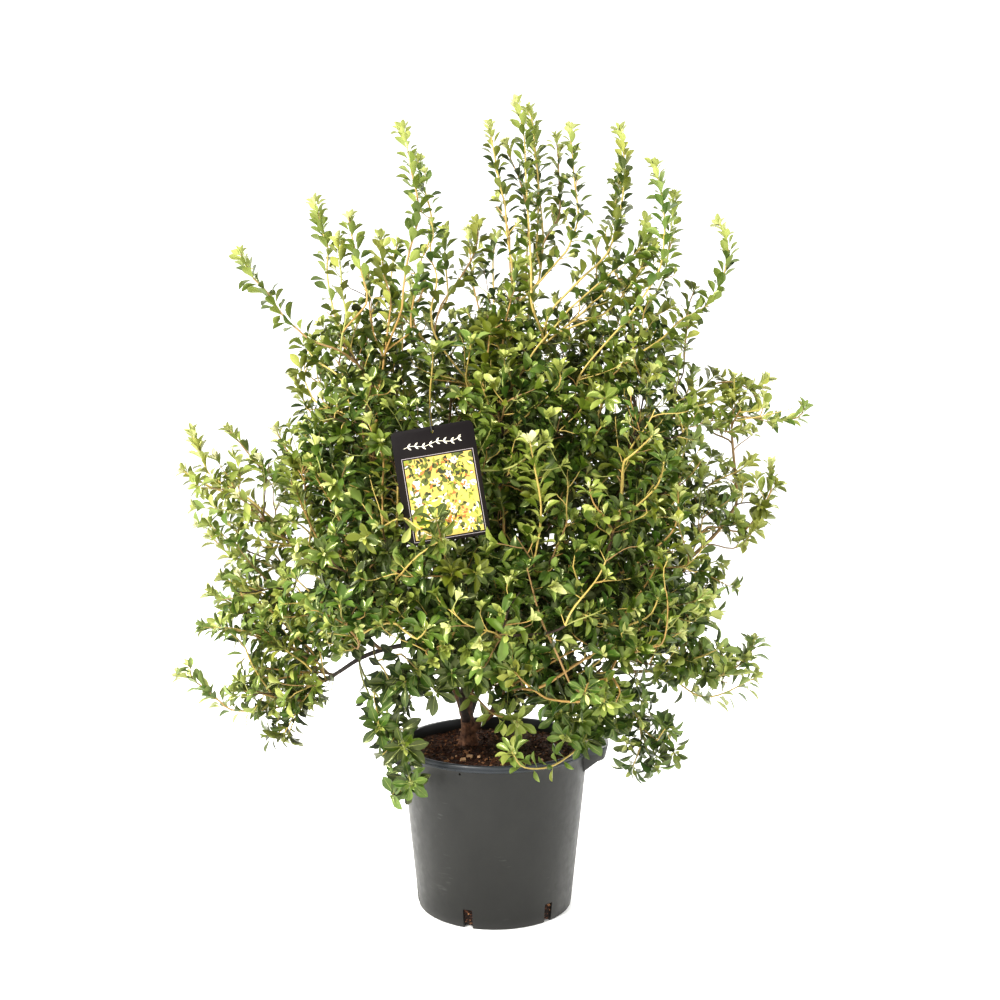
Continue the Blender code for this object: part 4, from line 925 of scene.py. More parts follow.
for number, c in enumerate(chains):
    if c["kind"] not in ("shoot", "seen"):
        continue
    owned = 1 if c["kind"] == "seen" else 0
    ids = c["ids"]
    pts = np.vstack((pos[c["parent"]], pos[ids]))
    seg = np.linalg.norm(np.diff(pts, axis=0), axis=1)
    s = np.concatenate(([0.0], np.cumsum(seg)))
    total = s[-1]
    tang = unit(np.gradient(pts, axis=0))
    tip, axis = pts[-1], tang[-1]
    d = float(depth_at(tip))
    far = d > 0.080 and c["kind"] == "shoot"
    size = c["leaf"]
    style = c["style"]
    if c.get("hangs"):
        axis = unit(0.35 * axis + np.array((0.0, -0.85, 0.15)))
    height = tip[2]
    edge = d < 0.035
    # base tone of the spray, with painted shade and light: darker tones deep inside the crown, lighter ones at its
    # outside and towards the top
    t = 1.0 + 1.3 * np.clip((height - 0.75) / 0.6, 0, 1) + (0.9 if edge else 0.35 if d < 0.07 else -0.35 if d < 0.11 else -0.9) + rng.normal() * 0.55
    if c["kind"] == "seen":
        t += 0.4
    rho = math.hypot(tip[0], tip[1])
    if height > 0.40:  # painted light: thin sprays at the sides get lighter tones, most of all on the left
        t += (3.3 if height > 0.62 else 2.7) * np.clip((-tip[0] - 0.29) / 0.17, 0, 1) + 1.8 * np.clip((tip[0] - 0.31) / 0.17, 0, 1)
    t += 0.4 * np.clip((height - 0.98) / 0.10, 0, 1) * np.clip((1.35 - height) / 0.2, 0, 1)
    t -= (0.9 if c["kind"] == "seen" else 0.5) * np.clip((height - 1.05) / 0.15, 0, 1)
    # painted light: hanging sprays on the right get a lighter tone than those on the left
    if c.get("hangs") or thin_at(tip) == 1:
        t = (1.9 if tip[0] > 0.1 else 1.0) + rng.normal() * 0.6
        far = False
    if c["kind"] == "seen" and height > 1.02:
        t = min(t, 2.6)
    if c.get("glow"):
        t = 4.4
    t = int(round(min(max(t, 0), 5 if c.get("glow") else 4)))
    die = rng.random()
    warm = edge or height > 1.12 or abs(tip[0]) > 0.36
    hue = 1 if die < (0.26 if warm else 0.58) else 2 if die < (0.50 if warm else 0.66) else 0
    if height > 1.02:
        hue = 1 if die < 0.22 else 2 if die < 0.50 else 0
        if hue == 2 and c["kind"] != "seen" and height < 1.18 and die < 0.38:
            hue = 0
    if height < 0.66:
        hue = 1 if die < (0.50 if edge else 0.66) else 2 if die < (0.60 if edge else 0.70) else 0
    if c.get("hangs") or thin_at(tip) == 1:
        hue = 1 if die < 0.8 else 0
    elif c.get("glow") and height < 0.45:
        hue = 1
    sunny = edge or height > 1.0
    young = 3 if far else 5 if rng.random() < (0.75 if sunny else 0.55) else 4
    if not far and rng.random() < (0.45 if sunny else 0.12):
        young = 6
    if c.get("glow"):
        young = 7 if rng.random() < 0.4 else 6
    # painted light: half the tips at the far left get the palest tone, as if washed out by bright light
    elif tip[0] < -0.42 and 0.62 < height < 1.0 and rng.random() < 0.5:
        young = 7
    turn = rng.uniform(0, 2 * math.pi)
    light = 0.15 if style == L and height > 1.0 else 0.40

    def at_run(q):
        q = min(max(q, 0.0), total)
        p = np.array([np.interp(q, s, pts[:, i]) for i in range(3)])
        a = unit(np.array([np.interp(q, s, tang[:, i]) for i in range(3)]))
        return p, a

    if style == L:
        leafed = total * (0.84 if c["kind"] == "seen" else 0.80)
        gap = 0.0056 if c["kind"] == "seen" and size < 0.031 else 0.0092 if size < 0.031 else 0.0115
        q = total - 0.004
        k = 0
        while q > total - leafed:
            p, a = at_run(q)
            f = (total - q) / max(leafed, 1e-6)
            grown = min(1.08, 0.68 + 1.8 * f)
            tone = young if f < 0.07 else 5 if f < 0.11 and young > 4 else max(t, 4) if f < 0.18 else tone_of(t, 0.34)
            leaf_on(p, a, turn, math.radians(28 + 30 * min(1, 2.2 * f)) + rng.normal() * 0.22, size * grown * rng.uniform(0.84, 1.10), tone, far, light)
            if size > 0.033 and c["kind"] == "seen":
                leaf_on(p, a, turn + math.pi + rng.normal() * 0.3, math.radians(34 + 28 * min(1, 2.2 * f)), size * grown * 0.95, tone_of(tone) if tone < 5 else tone, far, light)
            turn += math.radians(137.5) + rng.normal() * 0.45
            q -= gap * (0.45 + 0.55 * min(1, 4 * f)) * (1.0 + (1.1 if total > 0.14 else 0.3) * max(0.0, (f - 0.45) / 0.55)) * rng.uniform(0.8, 1.25)
            k += 1
        for j in range(7 if c["kind"] == "seen" else 5):
            p, a = at_run(total - 0.0012 * j)
            leaf_on(p, a, turn + j * 2.4, math.radians(rng.uniform(16, 30) + 4.0 * j), size * (0.42 + 0.06 * j) * rng.uniform(0.9, 1.1), young if j < 5 else 5, far, light)
    else:
        n_outer = int(rng.integers(6, 9)) if not far else int(rng.integers(5, 8))
        for j in range(n_outer):
            p, a = at_run(total - rng.uniform(0.001, 0.008))
            leaf_on(p, a, turn + 2 * math.pi * j / n_outer + rng.normal() * 0.12, math.radians(rng.uniform(52, 78)), size * rng.uniform(0.85, 1.08), tone_of(t, 0.22), far, light)
        for j in range(4 if not far else 2):
            leaf_on(tip, axis, turn + 0.6 + j * 1.7, math.radians(rng.uniform(18, 42)), size * rng.uniform(0.36, 0.60), young if j < 3 and rng.random() < 0.8 else min(t + 2, 5), far, light)
        q = total - 0.012
        low = total - min(total * 0.85, 0.070 if c["kind"] == "shoot" else 0.16)
        while q > low:
            p, a = at_run(q)
            leaf_on(p, a, turn, math.radians(rng.uniform(55, 80)), size * rng.uniform(0.80, 1.02), tone_of(max(t - 1, 0) if rng.random() < 0.4 else t, 0.2), far, light)
            turn += math.radians(137.5)
            q -= rng.uniform(0.0060, 0.0115) if not far else rng.uniform(0.011, 0.020)

R = np.array(leaf_rows)
base, go, face = R[:, 0:3], R[:, 3:6], R[:, 6:9]
length, wide, petiole = R[:, 9], R[:, 10], R[:, 11]
tone, far, variant = R[:, 12].astype(int), R[:, 13].astype(bool), R[:, 14].astype(int)
blade = base + go * petiole[:, None]
mid = blade + go * (0.5 * length[:, None])
ends = blade + go * length[:, None]
px = seen(mid)
front_of_label = over_label(px) & (mid[:, 1] < -0.30)
corner = (px[:, 0] < 447) & (px[:, 1] > 500)
owner = R[:, 15]
stem, hues = R[:, 16].astype(int), R[:, 17].astype(int)
for was, shade, now in ((1, 1, 8), (2, 1, 9), (3, 1, 12), (4, 1, 13), (2, 2, 10), (3, 2, 10), (4, 2, 11)):
    tone = np.where((R[:, 12].astype(int) == was) & (hues == shade), now, tone)
free = owner < 0.5  # leaves of the shoots that were dealt, not of the stems seen in the photograph
keep = ~in_gap(px, 0.95) & ~in_gap(seen(ends), 0.70) & ~(front_of_label & ~corner)
keep &= ~(free & (depth_at(ends) <= 0) & (depth_at(ends - 0.4 * (ends - mid)) <= 0))
keep &= ~(free & (open_front(px, mid[:, 1]) | open_front(seen(ends), ends[:, 1])))
# nothing reaches into the pot or its soil
r_mid, r_end = np.hypot(mid[:, 0], mid[:, 1]), np.hypot(ends[:, 0], ends[:, 1])
keep &= ~((ends[:, 2] < 0.302) & (r_end < 0.194)) & ~((mid[:, 2] < 0.302) & (r_mid < 0.194)) & ~((base[:, 2] < 0.300) & (np.hypot(base[:, 0], base[:, 1]) < 0.190))
lo, hi = np.array(CAD_BOX[0]), np.array(CAD_BOX[1])
room = 0.03 * (hi - lo) + 0.006
keep &= ((ends > lo - room) & (ends < hi + room)).all(1)
# a shoot left with hardly a leaf goes, and so does a twig that carries nothing any more
made_on, kept_on = np.bincount(stem, minlength=len(chains)), np.bincount(stem[keep], minlength=len(chains))
chain_of = np.zeros(count, int)
for number, c in enumerate(chains):
    chain_of[c["ids"]] = number
alive = np.zeros(len(chains), bool)
for number in range(len(chains) - 1, -1, -1):
    c = chains[number]
    if c["kind"] in ("bough", "seen") or (c["kind"] == "shoot" and kept_on[number] > max(4, 0.35 * made_on[number])):
        alive[number] = True
    if alive[number] and c["parent"] >= 0:
        alive[chain_of[c["parent"]]] = True
keep &= alive[stem]
small = free  # these carry no stalk of their own
outside = depth_at(mid) < 0.055
print("leaves", len(R), "kept", int(keep.sum()), "far", int((keep & far).sum()), "stems gone", int((~alive).sum()))
cross = np.cross(face, go)


def leaf_arrays(sel, template):
    pts, tris, quads = template
    n = len(sel)
    u, v, w = pts[:, 0], pts[:, 1], pts[:, 2]
    P = (blade[sel][:, None, :]
         + go[sel][:, None, :] * (u[None, :, None] * length[sel][:, None, None])
         + cross[sel][:, None, :] * (v[None, :, None] * wide[sel][:, None, None])
         + face[sel][:, None, :] * (w[None, :, None] * length[sel][:, None, None] * 0.9))
    off = (np.arange(n) * len(pts))[:, None, None]
    return P.reshape(-1, 3), (tris[None] + off).reshape(-1, 3), (quads[None] + off).reshape(-1, 4)


leaf_objects = {}
for k, name in enumerate(TONES):
    heap = Heap()
    for v in range(len(VARIANTS)):
        for kind_of, temps in ((~far & ~small, NEAR_T), (~far & small & outside, MID_T), (~far & small & ~outside, LOW_T), (far, FAR_T)):
            sel = np.nonzero(keep & (tone == k) & (variant == v) & kind_of)[0]
            if len(sel):
                heap.add(*leaf_arrays(sel, temps[v]))
    if heap.n:
        leaf_objects[name] = heap.object("leaves_" + name, leaf_mats[name])
        print("leaves", name, heap.faces())

# ------------------------------------------------------------------ stems
wood = {tone: Heap() for tone in WOOD_TONES}
for number, c in enumerate(chains):
    if c["kind"] == "bough" or not alive[number]:
        continue
    ids = c["ids"]
    pts = np.vstack((pos[c["parent"]], pos[ids]))
    r = radius[ids]
    radii = np.concatenate(([r[0] * 1.05], r))
    mean = float(r.mean())
    outer = float(depth_at(pts[-1]))
    shallow = float(depth_at(pts[len(pts) // 2])) < 0.060 and pts[len(pts) // 2][2] > 0.50
    die = rng.random()
    if c["kind"] == "seen":
        tone = "rind_yellow" if die < 0.50 else "rind_orange" if die < 0.82 else "rind_green" if die < 0.90 else "bark_tan"
        if c["glow"]:
            tone = "rind_yellow" if die < 0.6 else "rind_orange"
        elif c["hangs"]:
            tone = "rind_green" if die < 0.6 else "rind_yellow"
        sides = 6
    elif c["kind"] == "shoot":
        if outer > 0.09:
            tone = "bark_tan" if die < 0.4 else "rind_green"
        else:
            tone = "rind_yellow" if die < 0.45 else "rind_green" if die < 0.75 else "rind_orange" if die < 0.9 else "bark_tan"
        sides = 4 if outer < 0.08 else 3
    elif c["level"] == 1:
        tone = "bark_tan" if shallow else "bark_old" if die < 0.6 else "bark_brown"
        sides = 8
    elif pts[-1][2] > 1.02 and outer < 0.13:
        tone = "rind_yellow" if die < 0.35 else "bark_tan" if die < 0.75 else "rind_orange" if die < 0.9 else "bark_brown"
        sides = 5
    elif shallow:
        tone = "bark_tan" if die < 0.45 else "rind_orange" if die < 0.75 else "rind_yellow"
        sides = 5
    elif c["level"] == 2:
        tone = "bark_brown" if die < 0.45 else "bark_old" if die < 0.6 else "bark_tan"
        sides = 6
    else:
        tone = "bark_tan" if die < 0.55 else "rind_green" if die < 0.7 else "bark_brown" if die < 0.85 else "rind_orange"
        sides = 5
    wood[tone].add(*tube_arrays(pts, radii, sides))
print("wood faces", {k: h.faces() for k, h in wood.items()})

# stalk of each leaf as a three-sided sliver, and its pale midrib as a narrow strip laid on the blade
def stalk_arrays(sel):
    n = len(sel)
    rad = 0.00060 * (length[sel] / 0.034) ** 0.6
    rings = []
    for centre, fat in ((base[sel], 1.0), (blade[sel] + go[sel] * (0.10 * length[sel])[:, None], 0.7)):
        r = (rad * fat)[:, None]
        rings.append(np.stack((centre + face[sel] * r * 0.8, centre - face[sel] * r * 0.8 + cross[sel] * r, centre - face[sel] * r * 0.8 - cross[sel] * r), 1))
    P = np.stack(rings, 1)
    quads = np.array([(j, (j + 1) % 3, 3 + (j + 1) % 3, 3 + j) for j in range(3)])
    off = (np.arange(n) * 6)[:, None, None]
    return P.reshape(-1, 3), np.zeros((0, 3), int), (quads[None] + off).reshape(-1, 4)


def rib_arrays(sel):
    n = len(sel)
    curls = np.array([VARIANTS[v][1] for v in variant[sel]])
    pts = []
    for u, half in ((0.04, 0.016), (0.46, 0.011), (0.90, 0.004)):
        centre = blade[sel] + go[sel] * (u * length[sel])[:, None] - face[sel] * (curls * u * u * length[sel] * 0.9)[:, None] + face[sel] * 0.00035
        side = cross[sel] * (half * length[sel])[:, None]
        rise = face[sel] * (half * length[sel] * 0.35)[:, None]
        pts += [centre - side + rise, centre + side + rise]
    P = np.stack(pts, 1)
    quads = np.array([(0, 1, 3, 2), (2, 3, 5, 4)])
    off = (np.arange(n) * 6)[:, None, None]
    return P.reshape(-1, 3), np.zeros((0, 3), int), (quads[None] + off).reshape(-1, 4)


stalks, ribs = Heap(), Heap()
stalks.add(*stalk_arrays(np.nonzero(keep & ~far & ~small)[0]))
ribs.add(*rib_arrays(np.nonzero(keep & ~far & (~small | (depth_at(mid) < 0.03)))[0]))
rib_objects = [stalks.object("leaf_stalks", rib_mat), ribs.object("leaf_ribs", rib_mat)]
print("rib faces", stalks.faces(), ribs.faces())
wood_objects = {tone: h.object("stems_" + tone, wood_mats[tone]) for tone, h in wood.items() if h.n}

foliage_nodes = [n for n in leafy if not n.startswith("shoot_")]
shoot_nodes = [n for n in leafy if n.startswith("shoot_")]
for name, obj in leaf_objects.items():
    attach(obj, "root")
    young_kind = name in ("fresh", "bright", "lime", "pale", "gold", "cool_fresh")
    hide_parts(*(shoot_nodes if young_kind else foliage_nodes))
for obj in rib_objects:
    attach(obj, "root")
    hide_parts(*foliage_nodes)
for tone_name, obj in wood_objects.items():
    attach(obj, "root")
    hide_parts(*(shoot_nodes if tone_name.startswith("rind") else foliage_nodes))

# ------------------------------------------------------------------ pot
def turned(name, profile, steps, mat):
    """A profile turned about Z; a point at radius 0 closes the shape."""
    bm = bmesh.new()
    rings = []
    for r, z in profile:
        if r < 1e-6:
            rings.append([bm.verts.new((0, 0, z))] * steps)
        else:
            rings.append([bm.verts.new((r * math.cos(2 * math.pi * j / steps), r * math.sin(2 * math.pi * j / steps), z)) for j in range(steps)])
    for a, b in zip(rings, rings[1:]):
        for j in range(steps):
            k = (j + 1) % steps
            corners = []
            for v in (a[j], b[j], b[k], a[k]):
                if v not in corners:
                    corners.append(v)
            bm.faces.new(corners)
    bmesh.ops.recalc_face_normals(bm, faces=bm.faces)
    return from_bmesh(bm, name, mat)


def crisp(obj, degrees):
    """Smooth shading with the edges sharper than this angle left crisp."""
    bm = bmesh.new()
    bm.from_mesh(obj.data)
    for f in bm.faces:
        f.smooth = True
    for e in bm.edges:
        e.smooth = len(e.link_faces) == 2 and e.calc_face_angle(0.0) < math.radians(degrees)
    bm.to_mesh(obj.data)
    bm.free()


def cut(obj, tool, how="DIFFERENCE"):
    mod = obj.modifiers.new("cut", "BOOLEAN")
    mod.operation, mod.object, mod.solver = how, tool, "EXACT"
    evaluated(obj)
    bpy.data.objects.remove(tool, do_unlink=True)


def wall_r(z):
    return POT_BASE_R + (POT_TOP_R - POT_BASE_R) * z / (POT_HEIGHT - RIM_DEPTH)


def grip_outline(reach, half_width, inner, count=36):
    pts = []
    for k in range(count + 1):
        a = math.pi * (k / count - 0.5)
        out = inner + (reach - inner) * abs(math.cos(a)) ** 0.42 if 0 < k < count else inner
        pts.append((out, half_width * math.sin(a)))
    return pts


def prism(name, outline, z0, z1, mat=None, bevel=0.0, upper=None):
    bm = bmesh.new()
    low = [bm.verts.new((x, y, z0)) for x, y in outline]
    high = [bm.verts.new((x, y, z1)) for x, y in (upper or outline)]
    bm.faces.new(low)
    bm.faces.new(high)
    for k in range(len(low)):
        j = (k + 1) % len(low)
        bm.faces.new((low[k], low[j], high[j], high[k]))
    if upper:
        bmesh.ops.triangulate(bm, faces=[f for f in bm.faces if len(f.verts) == 4])
    bmesh.ops.recalc_face_normals(bm, faces=bm.faces)
    if bevel:
        rim = [e for e in bm.edges if len(e.link_faces) == 2 and e.calc_face_angle(0.0) > 1.0]
        bmesh.ops.bevel(bm, geom=rim, offset=bevel, segments=2, affect="EDGES", profile=0.6)
    return from_bmesh(bm, name, mat if mat else [], smooth=False)


def blotched(name, low, high, rough_low, rough_high, scale, bump_scale, bump_depth, specular=0.5, detail=6.0, strength=0.5):
    """A material whose colour and roughness wander between two values with noise in the object's own space."""
    mat, nt, sh = node_material(name, high, rough_high, specular=specular)
    geo, mp, tex, bump = relief(nt, sh, bump_scale, bump_depth, strength, 6.0)
    wide = nt.nodes.new("ShaderNodeTexNoise")
    wide.inputs["Scale"].default_value = scale
    wide.inputs["Detail"].default_value = detail
    wide.inputs["Roughness"].default_value = 0.62
    nt.links.new(geo.outputs["Object"], wide.inputs["Vector"])
    ramp = nt.nodes.new("ShaderNodeValToRGB")
    ramp.color_ramp.elements[0].position, ramp.color_ramp.elements[1].position = 0.34, 0.68
    ramp.color_ramp.elements[0].color, ramp.color_ramp.elements[1].color = (*low, 1), (*high, 1)
    nt.links.new(wide.outputs["Fac"], ramp.inputs["Fac"])
    nt.links.new(ramp.outputs["Color"], sh.inputs["Base Color"])
    span = nt.nodes.new("ShaderNodeMapRange")
    span.inputs["From Min"].default_value, span.inputs["From Max"].default_value = 0.3, 0.7
    span.inputs["To Min"].default_value, span.inputs["To Max"].default_value = rough_high, rough_low
    nt.links.new(tex.outputs["Fac"], span.inputs["Value"])
    nt.links.new(span.outputs["Result"], sh.inputs["Roughness"])
    return mat, nt, sh, geo, ramp


pot_mat, nt, sh, geo, ramp = blotched("pot_plastic", (0.0092, 0.0094, 0.0087), (0.0146, 0.0146, 0.0134), 0.34, 0.48, 9.0, 60.0, 0.0007, specular=0.37, strength=0.35)
# pale scuffs: thin stretched noise, only where a broad noise is high
stretch = nt.nodes.new("ShaderNodeMapping")
stretch.inputs["Scale"].default_value = (14.0, 14.0, 70.0)
stretch.inputs["Rotation"].default_value = (0.0, 0.5, 0.0)
fine = nt.nodes.new("ShaderNodeTexNoise")
fine.inputs["Scale"].default_value = 3.2
fine.inputs["Detail"].default_value = 8.0
where = nt.nodes.new("ShaderNodeTexNoise")
where.inputs["Scale"].default_value = 12.0
nt.links.new(geo.outputs["Object"], stretch.inputs["Vector"])
nt.links.new(stretch.outputs["Vector"], fine.inputs["Vector"])
nt.links.new(geo.outputs["Object"], where.inputs["Vector"])
both = nt.nodes.new("ShaderNodeMath")
both.operation = "MULTIPLY"
nt.links.new(fine.outputs["Fac"], both.inputs[0])
nt.links.new(where.outputs["Fac"], both.inputs[1])
gate = nt.nodes.new("ShaderNodeMapRange")
gate.inputs["From Min"].default_value, gate.inputs["From Max"].default_value = 0.39, 0.52
gate.inputs["To Max"].default_value = 0.55
nt.links.new(both.outputs["Value"], gate.inputs["Value"])
scuff = nt.nodes.new("ShaderNodeMix")
scuff.data_type = "RGBA"
nt.links.new(gate.outputs["Result"], scuff.inputs["Factor"])
nt.links.new(ramp.outputs["Color"], scuff.inputs[6])
scuff.inputs[7].default_value = (0.070, 0.070, 0.065, 1.0)
# painted reflection: the rim is painted a shade bluer and lighter than the wall, as if its lip caught the light
parts_xyz = nt.nodes.new("ShaderNodeSeparateXYZ")
nt.links.new(geo.outputs["Object"], parts_xyz.inputs["Vector"])
band = nt.nodes.new("ShaderNodeMapRange")
band.inputs["From Min"].default_value, band.inputs["From Max"].default_value = POT_HEIGHT - RIM_DEPTH - 0.001, POT_HEIGHT - RIM_DEPTH + 0.001
nt.links.new(parts_xyz.outputs["Z"], band.inputs["Value"])
rim_painted_reflection = nt.nodes.new("ShaderNodeMix")
rim_painted_reflection.data_type = "RGBA"
nt.links.new(band.outputs["Result"], rim_painted_reflection.inputs["Factor"])
nt.links.new(scuff.outputs[2], rim_painted_reflection.inputs[6])
rim_painted_reflection.inputs[7].default_value = (0.0200, 0.0240, 0.0290, 1.0)
# painted shade: the pot's colour darkens towards the foot of the wall
low_band = nt.nodes.new("ShaderNodeMapRange")
low_band.inputs["From Min"].default_value, low_band.inputs["From Max"].default_value = 0.0, 0.30
low_band.inputs["To Min"].default_value, low_band.inputs["To Max"].default_value = 0.62, 0.0
nt.links.new(parts_xyz.outputs["Z"], low_band.inputs["Value"])
pot_painted_shade = nt.nodes.new("ShaderNodeMix")
pot_painted_shade.data_type = "RGBA"
nt.links.new(low_band.outputs["Result"], pot_painted_shade.inputs["Factor"])
nt.links.new(rim_painted_reflection.outputs[2], pot_painted_shade.inputs[6])
pot_painted_shade.inputs[7].default_value = (0.0070, 0.0068, 0.0060, 1.0)
nt.links.new(pot_painted_shade.outputs[2], sh.inputs["Base Color"])

rim_foot = POT_HEIGHT - RIM_DEPTH
outer = [(wall_r(z), z) for z in np.linspace(rim_foot - 0.002, 0.004, 26)]
pot = turned("pot_fine", [
    (0.0, POT_WALL), (POT_BASE_R - POT_WALL - 0.004, POT_WALL), (wall_r(0.008) - POT_WALL, 0.008), (wall_r(0.15) - POT_WALL, 0.15),
    (wall_r(rim_foot) - POT_WALL, rim_foot - 0.003), (RIM_INNER_R, POT_HEIGHT - 0.0025), (RIM_INNER_R + 0.0009, POT_HEIGHT - 0.0008), (RIM_INNER_R + 0.0026, POT_HEIGHT),
    (RIM_R - 0.0030, POT_HEIGHT), (RIM_R - 0.0009, POT_HEIGHT - 0.0010), (RIM_R, POT_HEIGHT - 0.0030),
    (RIM_R - 0.0002, POT_HEIGHT - 0.0058), (RIM_R - 0.0011, POT_HEIGHT - 0.0066), (RIM_R - 0.0011, POT_HEIGHT - 0.0076), (RIM_R - 0.0003, POT_HEIGHT - 0.0084),
    (RIM_R - 0.0006, rim_foot + 0.0012), (POT_TOP_R + 0.0010, rim_foot),
    *outer, (wall_r(0.002) - 0.0008, 0.0012), (POT_BASE_R - 0.003, 0.0), (0.0, 0.0)], 176, pot_mat)
for v in pot.data.vertices:  # thin moulded wall, never quite true
    x, y, z = v.co
    r = math.hypot(x, y)
    if r > 0.12 and 0.004 < z < rim_foot:
        w = noise.noise(Vector((x * 9.0, y * 9.0, z * 5.0))) * 0.0009 + noise.noise(Vector((x * 30.0, y * 30.0, z * 9.0 + 7))) * 0.00025
        v.co.x += x / r * w
        v.co.y += y / r * w
for azimuth in LUG_AZIMUTHS_DEG:
    top, foot = POT_HEIGHT - 0.0012, POT_HEIGHT - LUG_DROP - 0.0012
    lug = prism("grip", grip_outline(LUG_FOOT_REACH_R, LUG_HALF_WIDTH - 0.003, 0.155), foot, top, bevel=0.0011, upper=grip_outline(LUG_REACH_R, LUG_HALF_WIDTH, 0.155))
    cut(lug, prism("hollow", grip_outline(LUG_FOOT_REACH_R - LUG_SKIN, LUG_HALF_WIDTH - 0.003 - LUG_SKIN, 0.150), foot - 0.0005, top - LUG_SKIN, upper=grip_outline(LUG_REACH_R - LUG_SKIN, LUG_HALF_WIDTH - LUG_SKIN, 0.150)))
    for side in (-1, 1):
        bm = bmesh.new()
        rows = [[bm.verts.new((x, side * GUSSET_ACROSS + y, z)) for x, z in ((0.1650, GUSSET_FOOT_Z), (0.1650, 0.3120), (0.2080, 0.3120), (0.2032, 0.2893))] for y in (-0.5 * GUSSET_THICK, 0.5 * GUSSET_THICK)]
        for row in rows:
            bm.faces.new(row)
        for k in range(4):
            bm.faces.new((rows[0][k], rows[0][(k + 1) % 4], rows[1][(k + 1) % 4], rows[1][k]))
        bmesh.ops.recalc_face_normals(bm, faces=bm.faces)
        cut(lug, from_bmesh(bm, "web", []), "UNION")
    core = turned("core", ((0.0, POT_HEIGHT + 0.01), (wall_r(POT_HEIGHT + 0.01) - 0.5 * POT_WALL, POT_HEIGHT + 0.01), (wall_r(0.24) - 0.5 * POT_WALL, 0.24), (0.0, 0.24)), 176, [])
    cut(lug, core)
    lug.data.transform(Matrix.Rotation(math.radians(azimuth), 4, "Z"))
    cut(pot, lug, "UNION")
for k in range(SLOT_COUNT):
    a = math.radians(SLOT_FIRST_DEG + 360.0 * k / SLOT_COUNT)
    bm = bmesh.new()
    bmesh.ops.create_cube(bm, size=1.0)
    bmesh.ops.scale(bm, vec=(0.040, SLOT_WIDTH, SLOT_HEIGHT + 0.010), verts=bm.verts)
    bmesh.ops.transform(bm, matrix=Matrix.Translation((POT_BASE_R * math.cos(a) * 0.985, POT_BASE_R * math.sin(a) * 0.985, 0.5 * (SLOT_HEIGHT - 0.010))) @ Matrix.Rotation(a, 4, "Z"), verts=bm.verts)
    cut(pot, from_bmesh(bm, "slot", []))
bm = bmesh.new()
bmesh.ops.create_cone(bm, cap_ends=True, segments=20, radius1=TIE_HOLE_R, radius2=TIE_HOLE_R, depth=0.030)
a = math.radians(TIE_HOLE_DEG)
bmesh.ops.transform(bm, matrix=Matrix.Translation((wall_r(TIE_HOLE_Z) * math.cos(a), wall_r(TIE_HOLE_Z) * math.sin(a), TIE_HOLE_Z)) @ Matrix.Rotation(a, 4, "Z") @ Matrix.Rotation(math.pi / 2, 4, "Y"), verts=bm.verts)
cut(pot, from_bmesh(bm, "tie_hole", []))
crisp(pot, 28.0)
pot.data.materials.clear()
pot.data.materials.append(pot_mat)
for poly in pot.data.polygons:
    poly.material_index = 0
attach(pot, "root")
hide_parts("pot")

# ------------------------------------------------------------------ potting soil
soil_mat, nt, sh, geo, ramp = blotched("bark_compost", (0.0165, 0.0072, 0.0042), (0.0720, 0.0310, 0.0160), 0.80, 0.96, 70.0, 160.0, 0.0030, specular=0.25, detail=9.0, strength=0.9)
# painted shade: the soil darkens downwards to near black, where it shows in the drain slots low in the pot
shade = nt.nodes.new("ShaderNodeMapRange")
shade.inputs["From Min"].default_value, shade.inputs["From Max"].default_value = 0.05, 0.20
shade.inputs["To Min"].default_value, shade.inputs["To Max"].default_value = 0.86, 0.0
where = nt.nodes.new("ShaderNodeSeparateXYZ")
nt.links.new(geo.outputs["Object"], where.inputs[0])
nt.links.new(where.outputs["Z"], shade.inputs["Value"])
soil_painted_shade = nt.nodes.new("ShaderNodeMix")
soil_painted_shade.data_type = "RGBA"
nt.links.new(shade.outputs["Result"], soil_painted_shade.inputs["Factor"])
nt.links.new(ramp.outputs["Color"], soil_painted_shade.inputs[6])
soil_painted_shade.inputs[7].default_value = (0.0030, 0.0016, 0.0011, 1.0)
nt.links.new(soil_painted_shade.outputs[2], sh.inputs["Base Color"])
chip_mats = []
for name, rgb in (("chip_dark", (0.030, 0.0125, 0.0075)), ("chip_red", (0.085, 0.034, 0.017)), ("chip_tan", (0.230, 0.115, 0.055)), ("chip_pale", (0.520, 0.330, 0.190))):
    mat, nt, sh = node_material(name, rgb, 0.85, specular=0.25)
    relief(nt, sh, 300.0, 0.0012, 0.7, 5.0, stretch=(1, 1, 3))
    chip_mats.append(mat)


def soil_height(x, y):
    r = math.hypot(x, y)
    drop = SOIL_EDGE_DROP * min(max((r - 0.10) / 0.078, 0), 1) ** 1.6
    lumps = 0.0042 * noise.noise(Vector((x * 26, y * 26, 0.3))) + 0.0034 * noise.noise(Vector((x * 75, y * 75, 1.7))) + 0.0022 * noise.noise(Vector((x * 190, y * 190, 4.1)))
    return SOIL_TOP - drop + lumps - 0.0012


